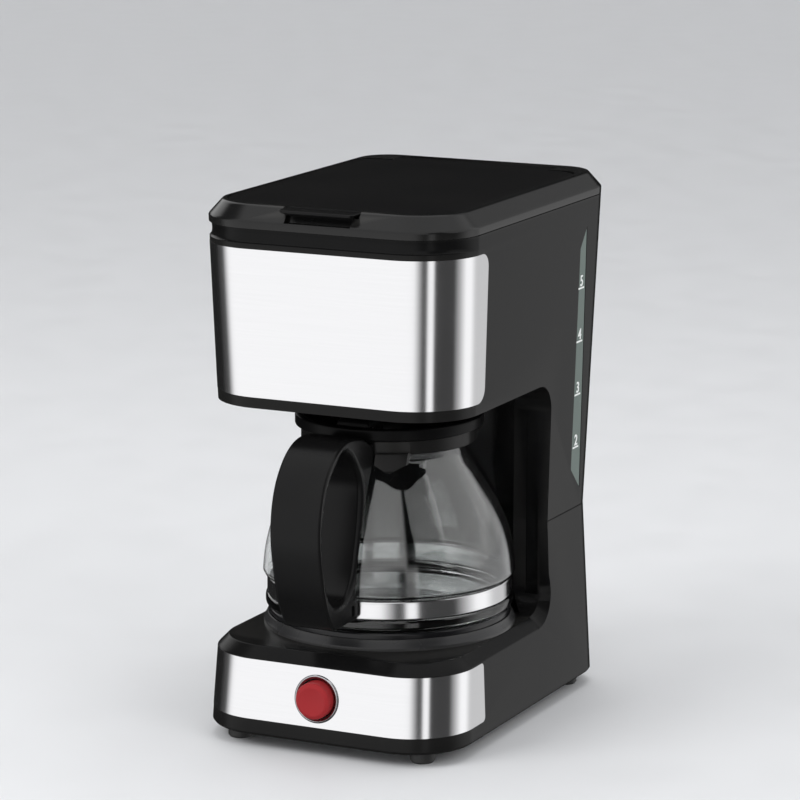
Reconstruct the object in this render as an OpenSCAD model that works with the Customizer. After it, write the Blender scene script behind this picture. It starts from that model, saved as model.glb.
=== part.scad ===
// Drip coffee maker with a glass carafe, for about five cups.
// Millimetres. +Z is up and the front faces -Y. The origin is on the resting plane,
// below the middle of the outline.

/* [Body] */
// Height of the flat top above the resting plane
body_h = 268; // [266:0.5:272]
// Height of the feet below the base
foot_h = 6.4; // [5.5:0.1:7]
// Height of the waist, where the two housings meet
waist_z = 97; // [94:0.5:97]
// Width across the top rim
top_w = 141.9; // [140:0.1:146]
// Width across the waist
waist_w = 132.7; // [132:0.1:136]
// Width across the bottom edge
base_w = 139.2; // [138:0.1:144]
// Front face at the top rim
top_front = -87; // [-90:0.5:-86]
// Front face at the waist
waist_front = -81.5; // [-84:0.5:-81]
// Front face at the bottom edge
base_front = -91; // [-93:0.5:-90]
// Rear face at the top rim
top_rear = 111.3; // [110:0.1:114]
// Rear face at the waist
waist_rear = 102.1; // [101.5:0.1:106]
// Rear face at the bottom edge
base_rear = 106.3; // [105:0.1:110]
// Radius of the upright front corners
front_r = 32; // [28:0.5:34]
// Radius of the upright rear corners
rear_r = 24; // [20:0.5:26]
// Wall of the moulded housings
wall = 2.2; // [2:0.1:2.4]
// Height of the chamfer round the top
rim_drop = 7.6; // [7:0.1:8]
// Inward run of the chamfer round the top
rim_run = 7.3; // [7:0.1:8]
// Height of the upright lip below the chamfer
lip_h = 3.6; // [3:0.1:4]
// Set-back of the housing below the lip
lip_over = 1.5; // [1:0.1:1.8]

/* [Carafe bay] */
// Height of the floor of the bay
bay_floor = 50; // [49.5:0.1:50.5]
// Height of the underside of the head
bay_top = 169; // [168.5:0.5:170]
// Front faces of the two pillars
bay_rear = 37.8; // [37:0.1:39]
// Radius of the hollow back wall round the carafe
bay_r = 66; // [65.5:0.1:66.5]
// Radius of the corner under the head
bay_top_r = 15; // [10:0.5:16]
// Radius of the corner on the base
bay_low_r = 14; // [10:0.5:16]
// Bevel round the top of the base
base_bevel = 5.2; // [4:0.1:5.4]
// Distance of the carafe's axis behind the origin
carafe_y = -8; // [-8.5:0.1:-7.5]

/* [Steel bands] */
// Lower edge of the head band
head_band_low = 174.4; // [173:0.1:176]
// Upper edge of the head band
head_band_high = 247.2; // [246:0.1:248]
// Rear end of the head band on each side
head_band_end = -44.5; // [-50:0.5:-40]
// Lower edge of the base band
base_band_low = 14.7; // [13:0.1:16]
// Upper edge of the base band
base_band_high = 44.2; // [43:0.1:44.4]
// Rear end of the base band on each side
base_band_end = -43.5; // [-50:0.5:-40]
// Thickness of the steel
band_t = 0.6; // [0.4:0.1:0.8]
// Radius of the corners at the head band's ends
head_band_r = 7; // [4:0.5:9]
// Radius of the corners at the base band's ends
base_band_r = 2.5; // [1:0.5:5]

/* [Switch] */
// Height of the button's axis
switch_z = 28.8; // [28:0.1:30]
// Outer diameter of the bezel
bezel_d = 24; // [23:0.5:26]
// Diameter of the button cap
cap_d = 18.4; // [17:0.1:19]
// Diameter of the flat face of the cap
cap_face_d = 14.8; // [12:0.1:16]
// How far the cap stands out of the bezel
cap_proud = 3.4; // [3:0.1:4]

/* [Warming plate] */
// Diameter of the plate
plate_d = 121.2; // [119:0.1:121.2]
// Height of the plate's top
plate_top = 58.3; // [58:0.1:58.3]
// Outer diameter of the ring round the plate
ring_d = 126.6; // [125:0.1:128]
// Height of the ring's inner edge
ring_top = 55.3; // [55:0.1:56]

/* [Carafe] */
// Underside of the glass
glass_z = 58.6; // [58.6:0.1:59]
// Wall of the glass
glass_wall = 2; // [1.6:0.1:2.2]
// Largest radius of the glass
belly_r = 63.4; // [63:0.1:63.6]
// Radius of the groove for the steel band
groove_r = 60.8; // [60:0.1:61]
// Outer radius of the neck collar
collar_r = 44; // [43.5:0.1:45]
// Outer radius of the carafe lid
carafe_lid_r = 47; // [46:0.1:47]
// Top of the carafe lid's rim
carafe_lid_top = 157; // [156:0.1:157]
// Width of the handle
handle_w = 27; // [24:0.5:28]
// Foremost point of the handle
handle_front = -111.3; // [-111.3:0.1:-110]

/* [Tank and window] */
// Front wall of the water tank
tank_front = 62.5; // [62:0.5:64]
// Wall of the tank
tank_wall = 1.8; // [1.6:0.1:2]
// Underside of the tank
tank_z = 100; // [99.5:0.5:102]
// Gap between the housing's outer face and the tank's
tank_inset = 3.2; // [3:0.1:3.6]
// Height of the lowest level mark
first_mark_z = 129; // [128:0.5:133]
// Height between level marks
mark_step = 27.5; // [26:0.5:28]
// Number of level marks
mark_count = 4; // [2:1:4]

/* [Lid] */
// Height of the hinge axis below the top
hinge_drop = 5.7; // [5.5:0.1:6]
// Width of the finger tab
tab_w = 40; // [36:1:44]
// Thickness of the lid panel
lid_t = 3; // [2.5:0.1:3]
// Gap round the lid
lid_gap = 0.6; // [0.4:0.1:0.8]

/* [Brewing] */
// Outer radius of the filter basket's rim
basket_r = 55; // [52:0.5:56]
// Top of the filter basket
basket_top = 236; // [232:1:238]
// Lowest point of the drip valve
valve_tip_z = 157.5; // [157.5:0.1:158]
// Bore of the cord inlet bush
inlet_bore_d = 6.6; // [6:0.1:7]

/* [Hidden] */

eps = 0.01;
round_fn = 96;
small_fn = 48;
corner_steps = 10;
reach = 150;
touch = 0.05;

rim_z = body_h - rim_drop;
lip_z = rim_z - lip_h;
housing_top = lip_z - 0.2;
cove_z = head_band_high + 2.6;
base_top_z = bay_floor - 2.5;
bottom_round = 1.6;
bottom_inset = 1.5;
band_proud = 0.15;
cove_end_y = -60;

// Lid opening in the top frame and the hinge behind it
frame_flat = 2;
open_inset = rim_run + frame_flat;
hinge_z = body_h - hinge_drop;
hinge_y = top_rear - open_inset - lid_gap - hinge_drop;
hinge_pin_r = 2;
hinge_bore_r = hinge_pin_r + touch;
pin_depth = 5;
barrel_clear = hinge_drop + 0.9;
lid_corner_r = front_r - open_inset - lid_gap;
lid_half = top_w / 2 - open_inset - lid_gap;
lid_front = top_front + open_inset + lid_gap;
frame_skirt = 6;
// The barrel is shorter than the lid, whose rear corners stop in front of it
barrel_half = 44;
lid_back = hinge_y - 10;
lid_back_r = 10;
// Room that the lid's rear edge needs as it turns
lid_swing = 1.8;

// Underfloor and column routes of the two hoses
hose_x = 38;
hose_r = 4.5;
hose_bore_r = 2.9;
hose_bend = 10;
hose_low_z = 28;
stub_y = 20;
heater_mid_r = 38;
heater_w = 13;
heater_h = 11;
plate_t = 1.2;
heater_top = plate_top - plate_t;
heater_low = heater_top - heater_h;
stub_low = heater_low - 8;
riser_y = 54.4;
riser_top = 243;
outlet_y = 76;
valve_low_z = 78;
valve_high_z = 92;
spray_z = 249;
spray_r = 15;

// Base cover fixings and feet, [x, y] on the right; each has a twin on the left
foot_spots = [[50, -74], [57, 83]];
screw_spots = [[56, -50], [60.5, 58]];
foot_r = 6.2;
peg_r = 3;
boss_r = 4;
screw_r = 1.5;
head_r = 3;
cover_t = 2.5;
cover_inset = 4.1;

// Switch parts
bezel_t = 1.6;
switch_hole_r = 9.6;
switch_face_y = env_front(switch_z);
cap_back_y = switch_face_y + 5;
plunger_r = 3.5;
plunger_end_y = cap_back_y + 8;
switch_box = [22, 16, 15];
switch_gap = 3.4;

// Cord inlet bush
inlet_x = -34;
inlet_z = 22;
inlet_face_y = env_rear(inlet_z);
bush_r = 6;
bush_flange_r = 8.5;
bush_len = 12;

// Filter basket and valve
basket_low_r = 43;
basket_low_z = 176;
basket_wall = 1.8;
filter_gap = 3;
valve_y = carafe_y;
stem_r = 2.6;
stem_hole_r = 3;
valve_foot_r = 6.5;
valve_foot_t = 1.6;
seal_r = 8;
spring_coil_r = 4.6;
spring_wire_r = 0.5;
spring_turns = 5;

// Carafe levels
band_low = 65.5;
band_high = 74.1;
collar_low = 143.6;
collar_high = 150.6;
mouth_r = 41;
mouth_top = 148.4;
handle_top = 156.4;
handle_low = 65.9;
grip_gap = 0.5;
band_outer_r = 61.5;

// Outline of the glass above the groove, [radius, height]
belly_points = [
    [belly_r, 77], [62.5, 86], [60.4, 96], [57, 106.5], [51.3, 119], [45, 130.6],
    [41, 137.2], [39.8, 141], [mouth_r, mouth_top]
];
// Outside of the handle in front of the carafe, [y, z] from the collar down to the foot
handle_outer = [
    [-55.8, 150.8], [-66, 155.4], [-82, handle_top], [-94.7, 151.2], [-104.5, 140.6],
    [-109.6, 128.5], [handle_front, 114], [-109.2, 98.5], [-104.6, 81], [-97.6, 67.6]
];
// Inside of the finger opening, closed
handle_hole = [
    [-82, 151.2], [-91.5, 146.9], [-101.3, 135.4], [-106.2, 120.1], [-106.4, 105.1],
    [-103, 89.3], [-94.6, 78.2], [-83.5, 78], [-75, 86.3], [-70.2, 100.6], [-66.2, 118.8],
    [-66, 132.4], [-73.2, 144.7]
];
// Edge of the handle next to the glass, from the foot up to the collar
handle_inner = [
    [-72.2, 80], [-71, 88], [-69.2, 95], [-67.3, 102], [-63, 118.2], [-57.5, 130.7], [-53, 140]
];

// Water window on the right side, [y, z] corners
window_points = [[77.5, 106.5], [75.6, 242.4], [67.9, 231.9], [65.6, 118]];
mark_y = [67, 74];
mark_h = 0.9;
mark_proud = 0.25;

// ---- Shape helpers ----

function mix(a, b, t) = a + (b - a) * t;

// A measure of the body at height z, straight from base to waist and from waist to rim
function env(z, low, mid, high) =
    z < waist_z
        ? mix(low, mid, (z - foot_h) / (waist_z - foot_h))
        : mix(mid, high, (z - waist_z) / (rim_z - waist_z));
function env_half(z) = env(z, base_w, waist_w, top_w) / 2;
function env_front(z) = env(z, base_front, waist_front, top_front);
function env_rear(z) = env(z, base_rear, waist_rear, top_rear);

// One quarter of a rounded corner about [x, y], from angle a
function corner(x, y, r, a) =
    [for (i = [0:corner_steps]) let (t = a + 90 * i / corner_steps) [x + r * cos(t), y + r * sin(t)]];

// Outline of the body at height z, moved in by inset
function outline(z, inset) =
    let (
        h = env_half(z) - inset,
        f = env_front(z) + inset,
        b = env_rear(z) - inset,
        rf = front_r - inset,
        rr = rear_r - inset
    )
    concat(
        corner(h - rr, b - rr, rr, 0),
        corner(rr - h, b - rr, rr, 90),
        corner(rf - h, f + rf, rf, 180),
        corner(h - rf, f + rf, rf, 270)
    );

// Points of a smooth curve through p, steps to each span
function spline_at(a, b, c, d, t) =
    0.5 * (2 * b + (c - a) * t + (2 * a - 5 * b + 4 * c - d) * t * t
        + (3 * b - a - 3 * c + d) * t * t * t);
function spline(p, steps) =
    let (n = len(p))
    concat(
        [for (i = [0:n - 2], k = [0:steps - 1])
            spline_at(p[max(i - 1, 0)], p[i], p[i + 1], p[min(i + 2, n - 1)], k / steps)],
        [p[n - 1]]
    );
function closed_spline(p, steps) =
    let (n = len(p))
    [for (i = [0:n - 1], k = [0:steps - 1])
        spline_at(p[(i + n - 1) % n], p[i], p[(i + 1) % n], p[(i + 2) % n], k / steps)];

function unit(v) = v / norm(v);
// The curve p moved to its left by d
function offset_curve(p, d) =
    let (n = len(p))
    [for (i = [0:n - 1])
        let (t = unit(p[min(i + 1, n - 1)] - p[max(i - 1, 0)]))
        p[i] + d * [-t[1], t[0]]];
function reversed(p) = [for (i = [len(p) - 1:-1:0]) p[i]];

// Solid of the body's outline through levels of [height, inset]
module loft(levels) {
    n = 4 * (corner_steps + 1);
    last = len(levels) - 1;
    points = [for (l = levels, q = outline(l[0], l[1])) [q[0], q[1], l[0]]];
    sides = [for (k = [0:last - 1], i = [0:n - 1])
        let (j = (i + 1) % n)
        [k * n + i, (k + 1) * n + i, (k + 1) * n + j, k * n + j]];
    floor_face = [for (i = [0:n - 1]) i];
    roof_face = [for (i = [n - 1:-1:0]) last * n + i];
    polyhedron(points, concat([floor_face], sides, [roof_face]), convexity = 4);
}

// A flat [y, z] outline carried across the whole width, between x0 and x1
module across(x0 = -reach, x1 = reach) {
    translate([x0, 0, 0]) rotate([90, 0, 90]) linear_extrude(x1 - x0) children();
}

// A cylinder lying along X, from x0 to x1
module along_x(x0, x1, y, z, r) {
    translate([x0, y, z]) rotate([0, 90, 0]) cylinder(h = x1 - x0, r = r, $fn = small_fn);
}

// A cylinder lying along Y, from y0 to y1
module along_y(y0, y1, x, z, r) {
    translate([x, y1, z]) rotate([90, 0, 0]) cylinder(h = y1 - y0, r = r, $fn = small_fn);
}

module upright(x, y, z0, z1, r) {
    translate([x, y, z0]) cylinder(h = z1 - z0, r = r, $fn = small_fn);
}

// A flat [radius, height] outline turned about the carafe's axis
module turned() {
    translate([0, carafe_y, 0]) rotate_extrude($fn = round_fn) children();
}

module ring_section(r0, r1, z0, z1) {
    translate([r0, z0]) square([r1 - r0, z1 - z0]);
}

module both_sides() {
    children();
    mirror([1, 0, 0]) children();
}

// One round bend of a pipe at point p, from direction u to direction v
module bend(p, u, v, bend_r, r) {
    turn = acos(u * v);
    side = unit(v - (u * v) * u);
    x = -side;
    z = cross(x, u);
    c = p - bend_r * tan(turn / 2) * u + bend_r * side;
    multmatrix([
        [x[0], u[0], z[0], c[0]], [x[1], u[1], z[1], c[1]], [x[2], u[2], z[2], c[2]], [0, 0, 0, 1]
    ])
        rotate_extrude(angle = turn, $fn = small_fn) translate([bend_r, 0]) circle(r, $fn = 24);
}

// Straight length of a pipe from a to b
module straight(a, b, r) {
    d = unit(b - a);
    side = abs(d[2]) > 0.9 ? [1, 0, 0] : [0, 0, 1];
    x = unit(cross(side, d));
    y = cross(d, x);
    multmatrix([
        [x[0], y[0], d[0], a[0]], [x[1], y[1], d[1], a[1]], [x[2], y[2], d[2], a[2]], [0, 0, 0, 1]
    ])
        cylinder(h = norm(b - a), r = r, $fn = 24);
}

// Pipe through points p with rounded bends
module pipe_run(p, bend_r, r) {
    n = len(p);
    dirs = [for (i = [0:n - 2]) unit(p[i + 1] - p[i])];
    cuts = [for (i = [0:n - 1])
        i == 0 || i == n - 1 ? 0 : bend_r * tan(acos(dirs[i - 1] * dirs[i]) / 2)];
    for (i = [0:n - 2]) straight(p[i] + cuts[i] * dirs[i], p[i + 1] - cuts[i + 1] * dirs[i], r);
    for (i = [1:1:n - 2]) bend(p[i], dirs[i - 1], dirs[i], bend_r, r);
}

// A coil of round wire about the Z axis, closed at both ends
module coil(coil_r, wire_r, height, turns) {
    steps = 14;
    sides = 8;
    n = steps * turns;
    points = [for (i = [0:n], k = [0:sides - 1])
        let (a = 360 * i / steps, b = 360 * k / sides, q = coil_r + wire_r * cos(b))
        [q * cos(a), q * sin(a), wire_r + (height - 2 * wire_r) * i / n + wire_r * sin(b)]];
    walls = [for (i = [0:n - 1], k = [0:sides - 1])
        let (j = (k + 1) % sides)
        [i * sides + k, i * sides + j, (i + 1) * sides + j, (i + 1) * sides + k]];
    start_face = [for (k = [sides - 1:-1:0]) k];
    end_face = [for (k = [0:sides - 1]) n * sides + k];
    polyhedron(points, concat([start_face], walls, [end_face]), convexity = 8);
}

// ---- Shared cuts of the two housings ----

// Side outline of the carafe bay, with a round corner under the head and one on the base
module bay_profile(grow = 0) {
    rear = bay_rear + grow;
    low = bay_floor - grow;
    high = bay_top + grow;
    difference() {
        translate([-reach, low]) square([rear + reach, high - low]);
        difference() {
            translate([rear - bay_top_r, high - bay_top_r]) square(bay_top_r + eps);
            translate([rear - bay_top_r, high - bay_top_r]) circle(bay_top_r, $fn = round_fn);
        }
        difference() {
            translate([rear - bay_low_r, low - eps]) square(bay_low_r + eps);
            translate([rear - bay_low_r, low + bay_low_r]) circle(bay_low_r, $fn = round_fn);
        }
    }
}

// The bay as a solid to be cut away
module bay(grow = 0) {
    across() bay_profile(grow);
    translate([0, carafe_y, bay_floor - grow])
        cylinder(h = bay_top - bay_floor + 2 * grow, r = bay_r + grow, $fn = round_fn);
}

// Side outline of a steel band, rounded at its rear end
module band_profile(low, high, rear, r) {
    translate([-reach, low]) square([rear + reach - r, high - low]);
    translate([rear - r - eps, low + r]) square([r + eps, high - low - 2 * r]);
    for (z = [low + r, high - r]) translate([rear - r, z]) circle(r, $fn = small_fn);
}

module base_band_profile() { band_profile(base_band_low, base_band_high, base_band_end, base_band_r); }
module head_band_profile() { band_profile(head_band_low, head_band_high, head_band_end, head_band_r); }

// ---- Housings ----

module base_body() {
    intersection() {
        loft([[foot_h, bottom_inset], [foot_h + bottom_round, 0], [waist_z, 0]]);
        union() {
            across() translate([bay_rear - bay_low_r, 0]) square([reach, waist_z + eps]);
            across() translate([-reach, 0]) square([2 * reach, base_band_high + 0.4]);
            loft([[base_band_high, 0], [base_band_high + 0.4, 0], [bay_floor, base_bevel]]);
        }
    }
}

module base_cavity() {
    loft([
        [foot_h - eps, bottom_inset + wall], [foot_h + bottom_round, wall],
        [base_band_high - 1, wall], [base_top_z, base_bevel]
    ]);
    difference() {
        intersection() {
            loft([[base_top_z - 1, wall], [waist_z + eps, wall]]);
            across() translate([bay_rear + wall, 0]) square([reach, reach]);
        }
        bay(wall);
    }
}

module base_bosses() {
    both_sides() for (s = screw_spots) upright(s[0], s[1], foot_h + cover_t, base_top_z + eps, boss_r);
}

module base_housing() color("#1c1c1e") {
    difference() {
        union() {
            difference() {
                base_body();
                base_cavity();
            }
            intersection() {
                base_bosses();
                loft([[foot_h, bottom_inset], [foot_h + bottom_round, 0.5], [waist_z, 0.5]]);
            }
        }
        bay();
        translate([0, carafe_y, base_top_z - 1])
            cylinder(h = 4, r = plate_d / 2 - 3.5, $fn = round_fn);
        difference() {
            across() base_band_profile();
            loft([[foot_h, band_t], [base_band_high + eps, band_t]]);
        }
        both_sides() for (s = screw_spots) upright(s[0], s[1], foot_h, foot_h + 16, screw_r);
        along_y(switch_face_y - 2, switch_face_y + wall + 1, 0, switch_z, switch_hole_r);
        along_y(inlet_face_y - wall - 2, inlet_face_y + 2, inlet_x, inlet_z, bush_r);
    }
}

module window_prism(grow = 0) {
    across(40, reach) offset(delta = grow) polygon(window_points);
}

// Hollow under the lip, across the front only
module front_cove() {
    intersection() {
        difference() {
            loft([[cove_z, -1], [lip_z, -1]]);
            loft([[cove_z - eps, 0], [cove_z + lip_over, lip_over], [lip_z + eps, lip_over]]);
        }
        across() translate([-reach, 0]) square([reach + cove_end_y, 2 * reach]);
    }
}

module upper_body() {
    difference() {
        loft([[waist_z, 0], [housing_top, 0]]);
        bay();
        front_cove();
    }
}

module upper_cavity() {
    difference() {
        loft([[waist_z - eps, wall], [cove_z, wall], [cove_z + 1, wall + lip_over],
            [housing_top + eps, wall + lip_over]]);
        bay(wall);
        across() translate([-reach, 0]) square([reach + bay_rear + wall - 20, bay_top + wall]);
    }
}

module upper_housing() color("#1c1c1e") {
    difference() {
        upper_body();
        upper_cavity();
        difference() {
            across() head_band_profile();
            loft([[bay_top, band_t], [cove_z, band_t]]);
        }
        window_prism();
        translate([0, valve_y, bay_top - 1]) cylinder(h = 8, r = 26, $fn = round_fn);
    }
}

module lid_outline(half, front, rear, r, back_r) {
    translate([-half, front + r]) square([2 * half, rear - front - r - back_r]);
    translate([r - half, front]) square([2 * (half - r), r + eps]);
    translate([back_r - half, rear - back_r - eps]) square([2 * (half - back_r), back_r + eps]);
    for (s = [-1, 1]) {
        translate([s * (half - r), front + r]) circle(r, $fn = round_fn);
        translate([s * (half - back_r), rear - back_r]) circle(back_r, $fn = round_fn);
    }
}

module top_frame() color("#262629") {
    half = lid_half + lid_gap;
    front = lid_front - lid_gap;
    side = barrel_half + lid_gap;
    difference() {
        union() {
            loft([[lip_z, 0], [rim_z, 0], [body_h, rim_run]]);
            loft([[lip_z - frame_skirt, lip_over + wall + 0.3], [lip_z + eps, lip_over + wall + 0.3]]);
        }
        // Lid recess, and the opening below it
        translate([0, 0, body_h - lid_t - touch])
            linear_extrude(reach)
                lid_outline(half, front, lid_back + lid_swing, lid_corner_r + lid_gap, lid_back_r + lid_gap);
        translate([0, 0, lip_z - frame_skirt - 1])
            linear_extrude(reach) lid_outline(half - 3, front + 3, hinge_y - 12, lid_corner_r - 2, 4);
        // Trough in which the hinge barrel turns
        along_x(-side, side, hinge_y, hinge_z, barrel_clear);
        translate([-side, hinge_y, hinge_z]) cube([2 * side, barrel_clear, reach]);
        translate([-side, hinge_y - 13, hinge_z - barrel_clear]) cube([2 * side, 13, reach]);
        // Notch for the finger tab and the scoop under it
        translate([-tab_w / 2 - lid_gap, top_front - 3, body_h - lid_t - touch])
            cube([tab_w + 2 * lid_gap, 20, lid_t + 1]);
        translate([-tab_w / 2 + 2.5, top_front - 3, rim_z]) cube([tab_w - 5, 9, 6]);
        both_sides() along_x(side - 1, side + pin_depth, hinge_y, hinge_z, hinge_pin_r);
    }
}

module base_cover() color("#202022") {
    difference() {
        loft([[foot_h, cover_inset], [foot_h + cover_t, cover_inset]]);
        both_sides() for (s = foot_spots) upright(s[0], s[1], foot_h - 1, foot_h + cover_t + 1, peg_r);
        both_sides() for (s = screw_spots) {
            upright(s[0], s[1], foot_h - 1, foot_h + cover_t + 1, screw_r + 0.3);
            upright(s[0], s[1], foot_h - 1, foot_h + 1.2, head_r + 0.4);
        }
    }
}

module feet() color("#101010") {
    both_sides() for (s = foot_spots) {
        translate([s[0], s[1], 0]) cylinder(h = 1, r1 = foot_r - 0.8, r2 = foot_r, $fn = small_fn);
        upright(s[0], s[1], 1, foot_h, foot_r);
        upright(s[0], s[1], foot_h - eps, foot_h + cover_t, peg_r);
    }
}

module base_screws() color("#8a8a8e") {
    both_sides() for (s = screw_spots) difference() {
        union() {
            upright(s[0], s[1], foot_h, foot_h + 1.2, head_r);
            upright(s[0], s[1], foot_h + 1, foot_h + 15, screw_r);
        }
        for (a = [0, 90]) translate([s[0], s[1], foot_h])
            rotate(a) cube([3, 0.7, 1], center = true);
    }
}

// ---- Steel bands ----

module steel_sheet(low, high) {
    difference() {
        loft([[low - 1, -band_proud], [high + 1, -band_proud]]);
        loft([[low - 2, band_t], [high + 2, band_t]]);
    }
}

module base_band() color("#d4d4d6") {
    difference() {
        intersection() {
            steel_sheet(base_band_low, base_band_high);
            across() base_band_profile();
        }
        along_y(switch_face_y - 3, switch_face_y + 3, 0, switch_z, switch_hole_r);
    }
}

module head_band() color("#d4d4d6") intersection() {
    steel_sheet(head_band_low, head_band_high);
    across() head_band_profile();
}

// ---- Switch ----

// The switch parts point straight forwards, although the front leans back a little
module on_switch_axis() {
    translate([0, switch_face_y, switch_z]) rotate([90, 0, 0]) children();
}

// The bezel's back is cut to sit on the steel
module switch_bezel() color("#c8c8cc") difference() {
    union() {
        difference() {
            on_switch_axis() translate([0, 0, -2])
                cylinder(h = 3 + bezel_t, r1 = bezel_d / 2, r2 = bezel_d / 2 - 0.6, $fn = small_fn);
            loft([[foot_h, -band_proud - touch], [base_band_high, -band_proud - touch]]);
        }
        on_switch_axis() translate([0, 0, -4]) cylinder(h = 5.2, r = switch_hole_r - touch, $fn = small_fn);
    }
    on_switch_axis() translate([0, 0, -5]) cylinder(h = 10, r = cap_d / 2 + 0.08, $fn = small_fn);
}

module switch_button() color("#8e1a20") on_switch_axis() {
    flat = cap_face_d / 2;
    rim = cap_d / 2;
    top = cap_proud + 1 + bezel_t;
    rotate_extrude($fn = small_fn) polygon([
        [0, -5], [rim, -5], [rim, top - 2.4], [rim - 0.5, top - 0.9], [flat + 0.6, top - 0.2],
        [flat, top], [flat - 1.2, top - 0.5], [0, top - 0.7]
    ]);
    translate([0, 0, -13]) cylinder(h = 8 + eps, r = plunger_r, $fn = small_fn);
}

module switch_body() color("#2a2a2c") {
    y = plunger_end_y + switch_gap;
    translate([-switch_box[0] / 2, y, switch_z - switch_box[2] / 2])
        difference() {
            cube([switch_box[0], switch_box[1], switch_box[2]]);
            translate([switch_box[0] / 2, 5, switch_box[2] / 2]) rotate([90, 0, 0])
                cylinder(h = 6, r = 4.4, $fn = small_fn);
        }
    for (x = [-6, 6]) translate([x - 0.4, y + switch_box[1] - eps, switch_z - 3]) cube([0.8, 7, 6]);
}

module switch_spring() color("#b0b0b4") {
    translate([0, plunger_end_y + switch_gap + 5, switch_z]) rotate([90, 0, 0])
        coil(2.4, 0.3, 5 + switch_gap, 4);
}

// ---- Electrical ----

module cord_inlet() color("#151515") difference() {
    union() {
        along_y(inlet_face_y - wall - 1 - bush_len + 4, inlet_face_y + 0.3, inlet_x, inlet_z, bush_r);
        along_y(inlet_face_y + 0.2, inlet_face_y + 2, inlet_x, inlet_z, bush_flange_r);
    }
    along_y(inlet_face_y - 30, inlet_face_y + 5, inlet_x, inlet_z, inlet_bore_d / 2);
}

module power_leads() color("#b8a070") {
    start_y = plunger_end_y + switch_gap + switch_box[1] + 7.2;
    lead_r = 1.1;
    low = 14;
    turn_y = 60;
    rise_y = 74;
    end_y = 92;
    for (x = [-6, 6]) {
        end_x = inlet_x + x / 4;
        pipe_run([
            [x, start_y, switch_z], [x, start_y + 8, switch_z], [x, start_y + 8, low],
            [x, turn_y + x, low], [end_x, turn_y + x, low], [end_x, rise_y, low],
            [end_x, rise_y, inlet_z], [end_x, end_y, inlet_z]
        ], 2.5, lead_r);
    }
}

// ---- Heating ----

module warming_plate() color("#242426") turned() {
    r = plate_d / 2;
    polygon([
        [0, heater_top], [r - 1.3, heater_top], [r - 1.3, 52.1], [r - 0.1, 52.1],
        [r, plate_top - 1], [r - 1, plate_top], [0, plate_top]
    ]);
}

module plate_ring() color("#4a4a4c") turned() {
    inner = plate_d / 2 + 0.2;
    outer = ring_d / 2;
    polygon([
        [inner - 3.6, bay_floor], [outer, bay_floor], [outer, 51.4], [inner, ring_top],
        [inner, 52], [inner - 3.6, 52]
    ]);
}

// Plan of a half disc with a straight tail to the rear, r wide on each side
module horseshoe_plan(r, tail) {
    intersection() {
        circle(r, $fn = round_fn);
        translate([-r, -r]) square([2 * r, r + eps]);
    }
    translate([-r, 0]) square([2 * r, tail]);
}

module heating_element() color("#b4b6ba") {
    tail = stub_y - carafe_y + heater_w / 2;
    difference() {
        union() {
            translate([0, carafe_y, heater_low]) linear_extrude(heater_h) difference() {
                horseshoe_plan(heater_mid_r + heater_w / 2, tail);
                horseshoe_plan(heater_mid_r - heater_w / 2, tail + 1);
            }
            both_sides() upright(hose_x, stub_y, stub_low, heater_low + 1, hose_bore_r);
        }
        both_sides() upright(hose_x, stub_y, stub_low - 1, heater_low + 5, hose_bore_r - 0.9);
    }
}

clamp_low = heater_low - 1.6;
clamp_screw_x = 24;

module heater_clamp() color("#a0a2a6") difference() {
    union() {
        translate([-heater_mid_r - 6, carafe_y - 8, clamp_low])
            cube([2 * heater_mid_r + 12, 16, heater_low - clamp_low]);
        for (s = [-1, 1]) upright(s * clamp_screw_x, carafe_y, heater_low - eps, heater_top, 4);
    }
    for (s = [-1, 1]) upright(s * clamp_screw_x, carafe_y, clamp_low - 1, heater_top + 1, screw_r);
}

module clamp_screws() color("#8a8a8e") for (s = [-1, 1]) {
    upright(s * clamp_screw_x, carafe_y, clamp_low, heater_top, screw_r);
    upright(s * clamp_screw_x, carafe_y, clamp_low - 1.8, clamp_low, head_r);
}

module thermostat() color("#d0d0d0") {
    upright(0, carafe_y, heater_top - 5, heater_top, 8.5);
    upright(0, carafe_y, heater_low, heater_top - 5 + eps, 6.5);
}

module thermal_fuse() color("#c8b060") {
    along_x(-7, 7, carafe_y - 20, heater_top - 2.6, 2.5);
    along_x(-14, 14, carafe_y - 20, heater_top - 2.6, 0.6);
}

// ---- Water ----

module tank_shell(inset, low) {
    intersection() {
        loft([[low, inset], [cove_z - 2, inset]]);
        across() translate([tank_front + inset - tank_inset, 0]) square([reach, reach * 2]);
    }
}

module water_tank() color([0.75, 0.8, 0.82, 0.5]) {
    difference() {
        union() {
            tank_shell(tank_inset, tank_z);
            upright(hose_x, outlet_y, tank_z - 6, tank_z + eps, 5.5);
        }
        intersection() {
            loft([[tank_z + tank_wall, tank_inset + tank_wall], [cove_z, tank_inset + tank_wall]]);
            across() translate([tank_front + tank_wall, 0]) square([reach, reach * 2]);
        }
        upright(hose_x, outlet_y, tank_z - 7, tank_z + 3, 4);
    }
}

module tank_grommet() color("#303030") difference() {
    union() {
        upright(hose_x, outlet_y, tank_z - 8, tank_z - 6, 6.5);
        upright(hose_x, outlet_y, tank_z - 6 - eps, tank_z + 0.8, 3.95);
    }
    upright(hose_x, outlet_y, tank_z - 9, tank_z + 2, 2.6);
}

module check_valve() color("#e8e8e8") difference() {
    union() {
        upright(hose_x, outlet_y, valve_low_z - 6, valve_low_z + eps, hose_bore_r);
        upright(hose_x, outlet_y, valve_low_z, valve_high_z, 5.6);
    }
    upright(hose_x, outlet_y, valve_low_z - 7, valve_high_z - 3, 1.8);
    upright(hose_x, outlet_y, valve_low_z + 4, valve_high_z - 3 + eps, 3.6);
    upright(hose_x, outlet_y, valve_high_z - 4, valve_high_z + 1, 2.4);
}

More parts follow.
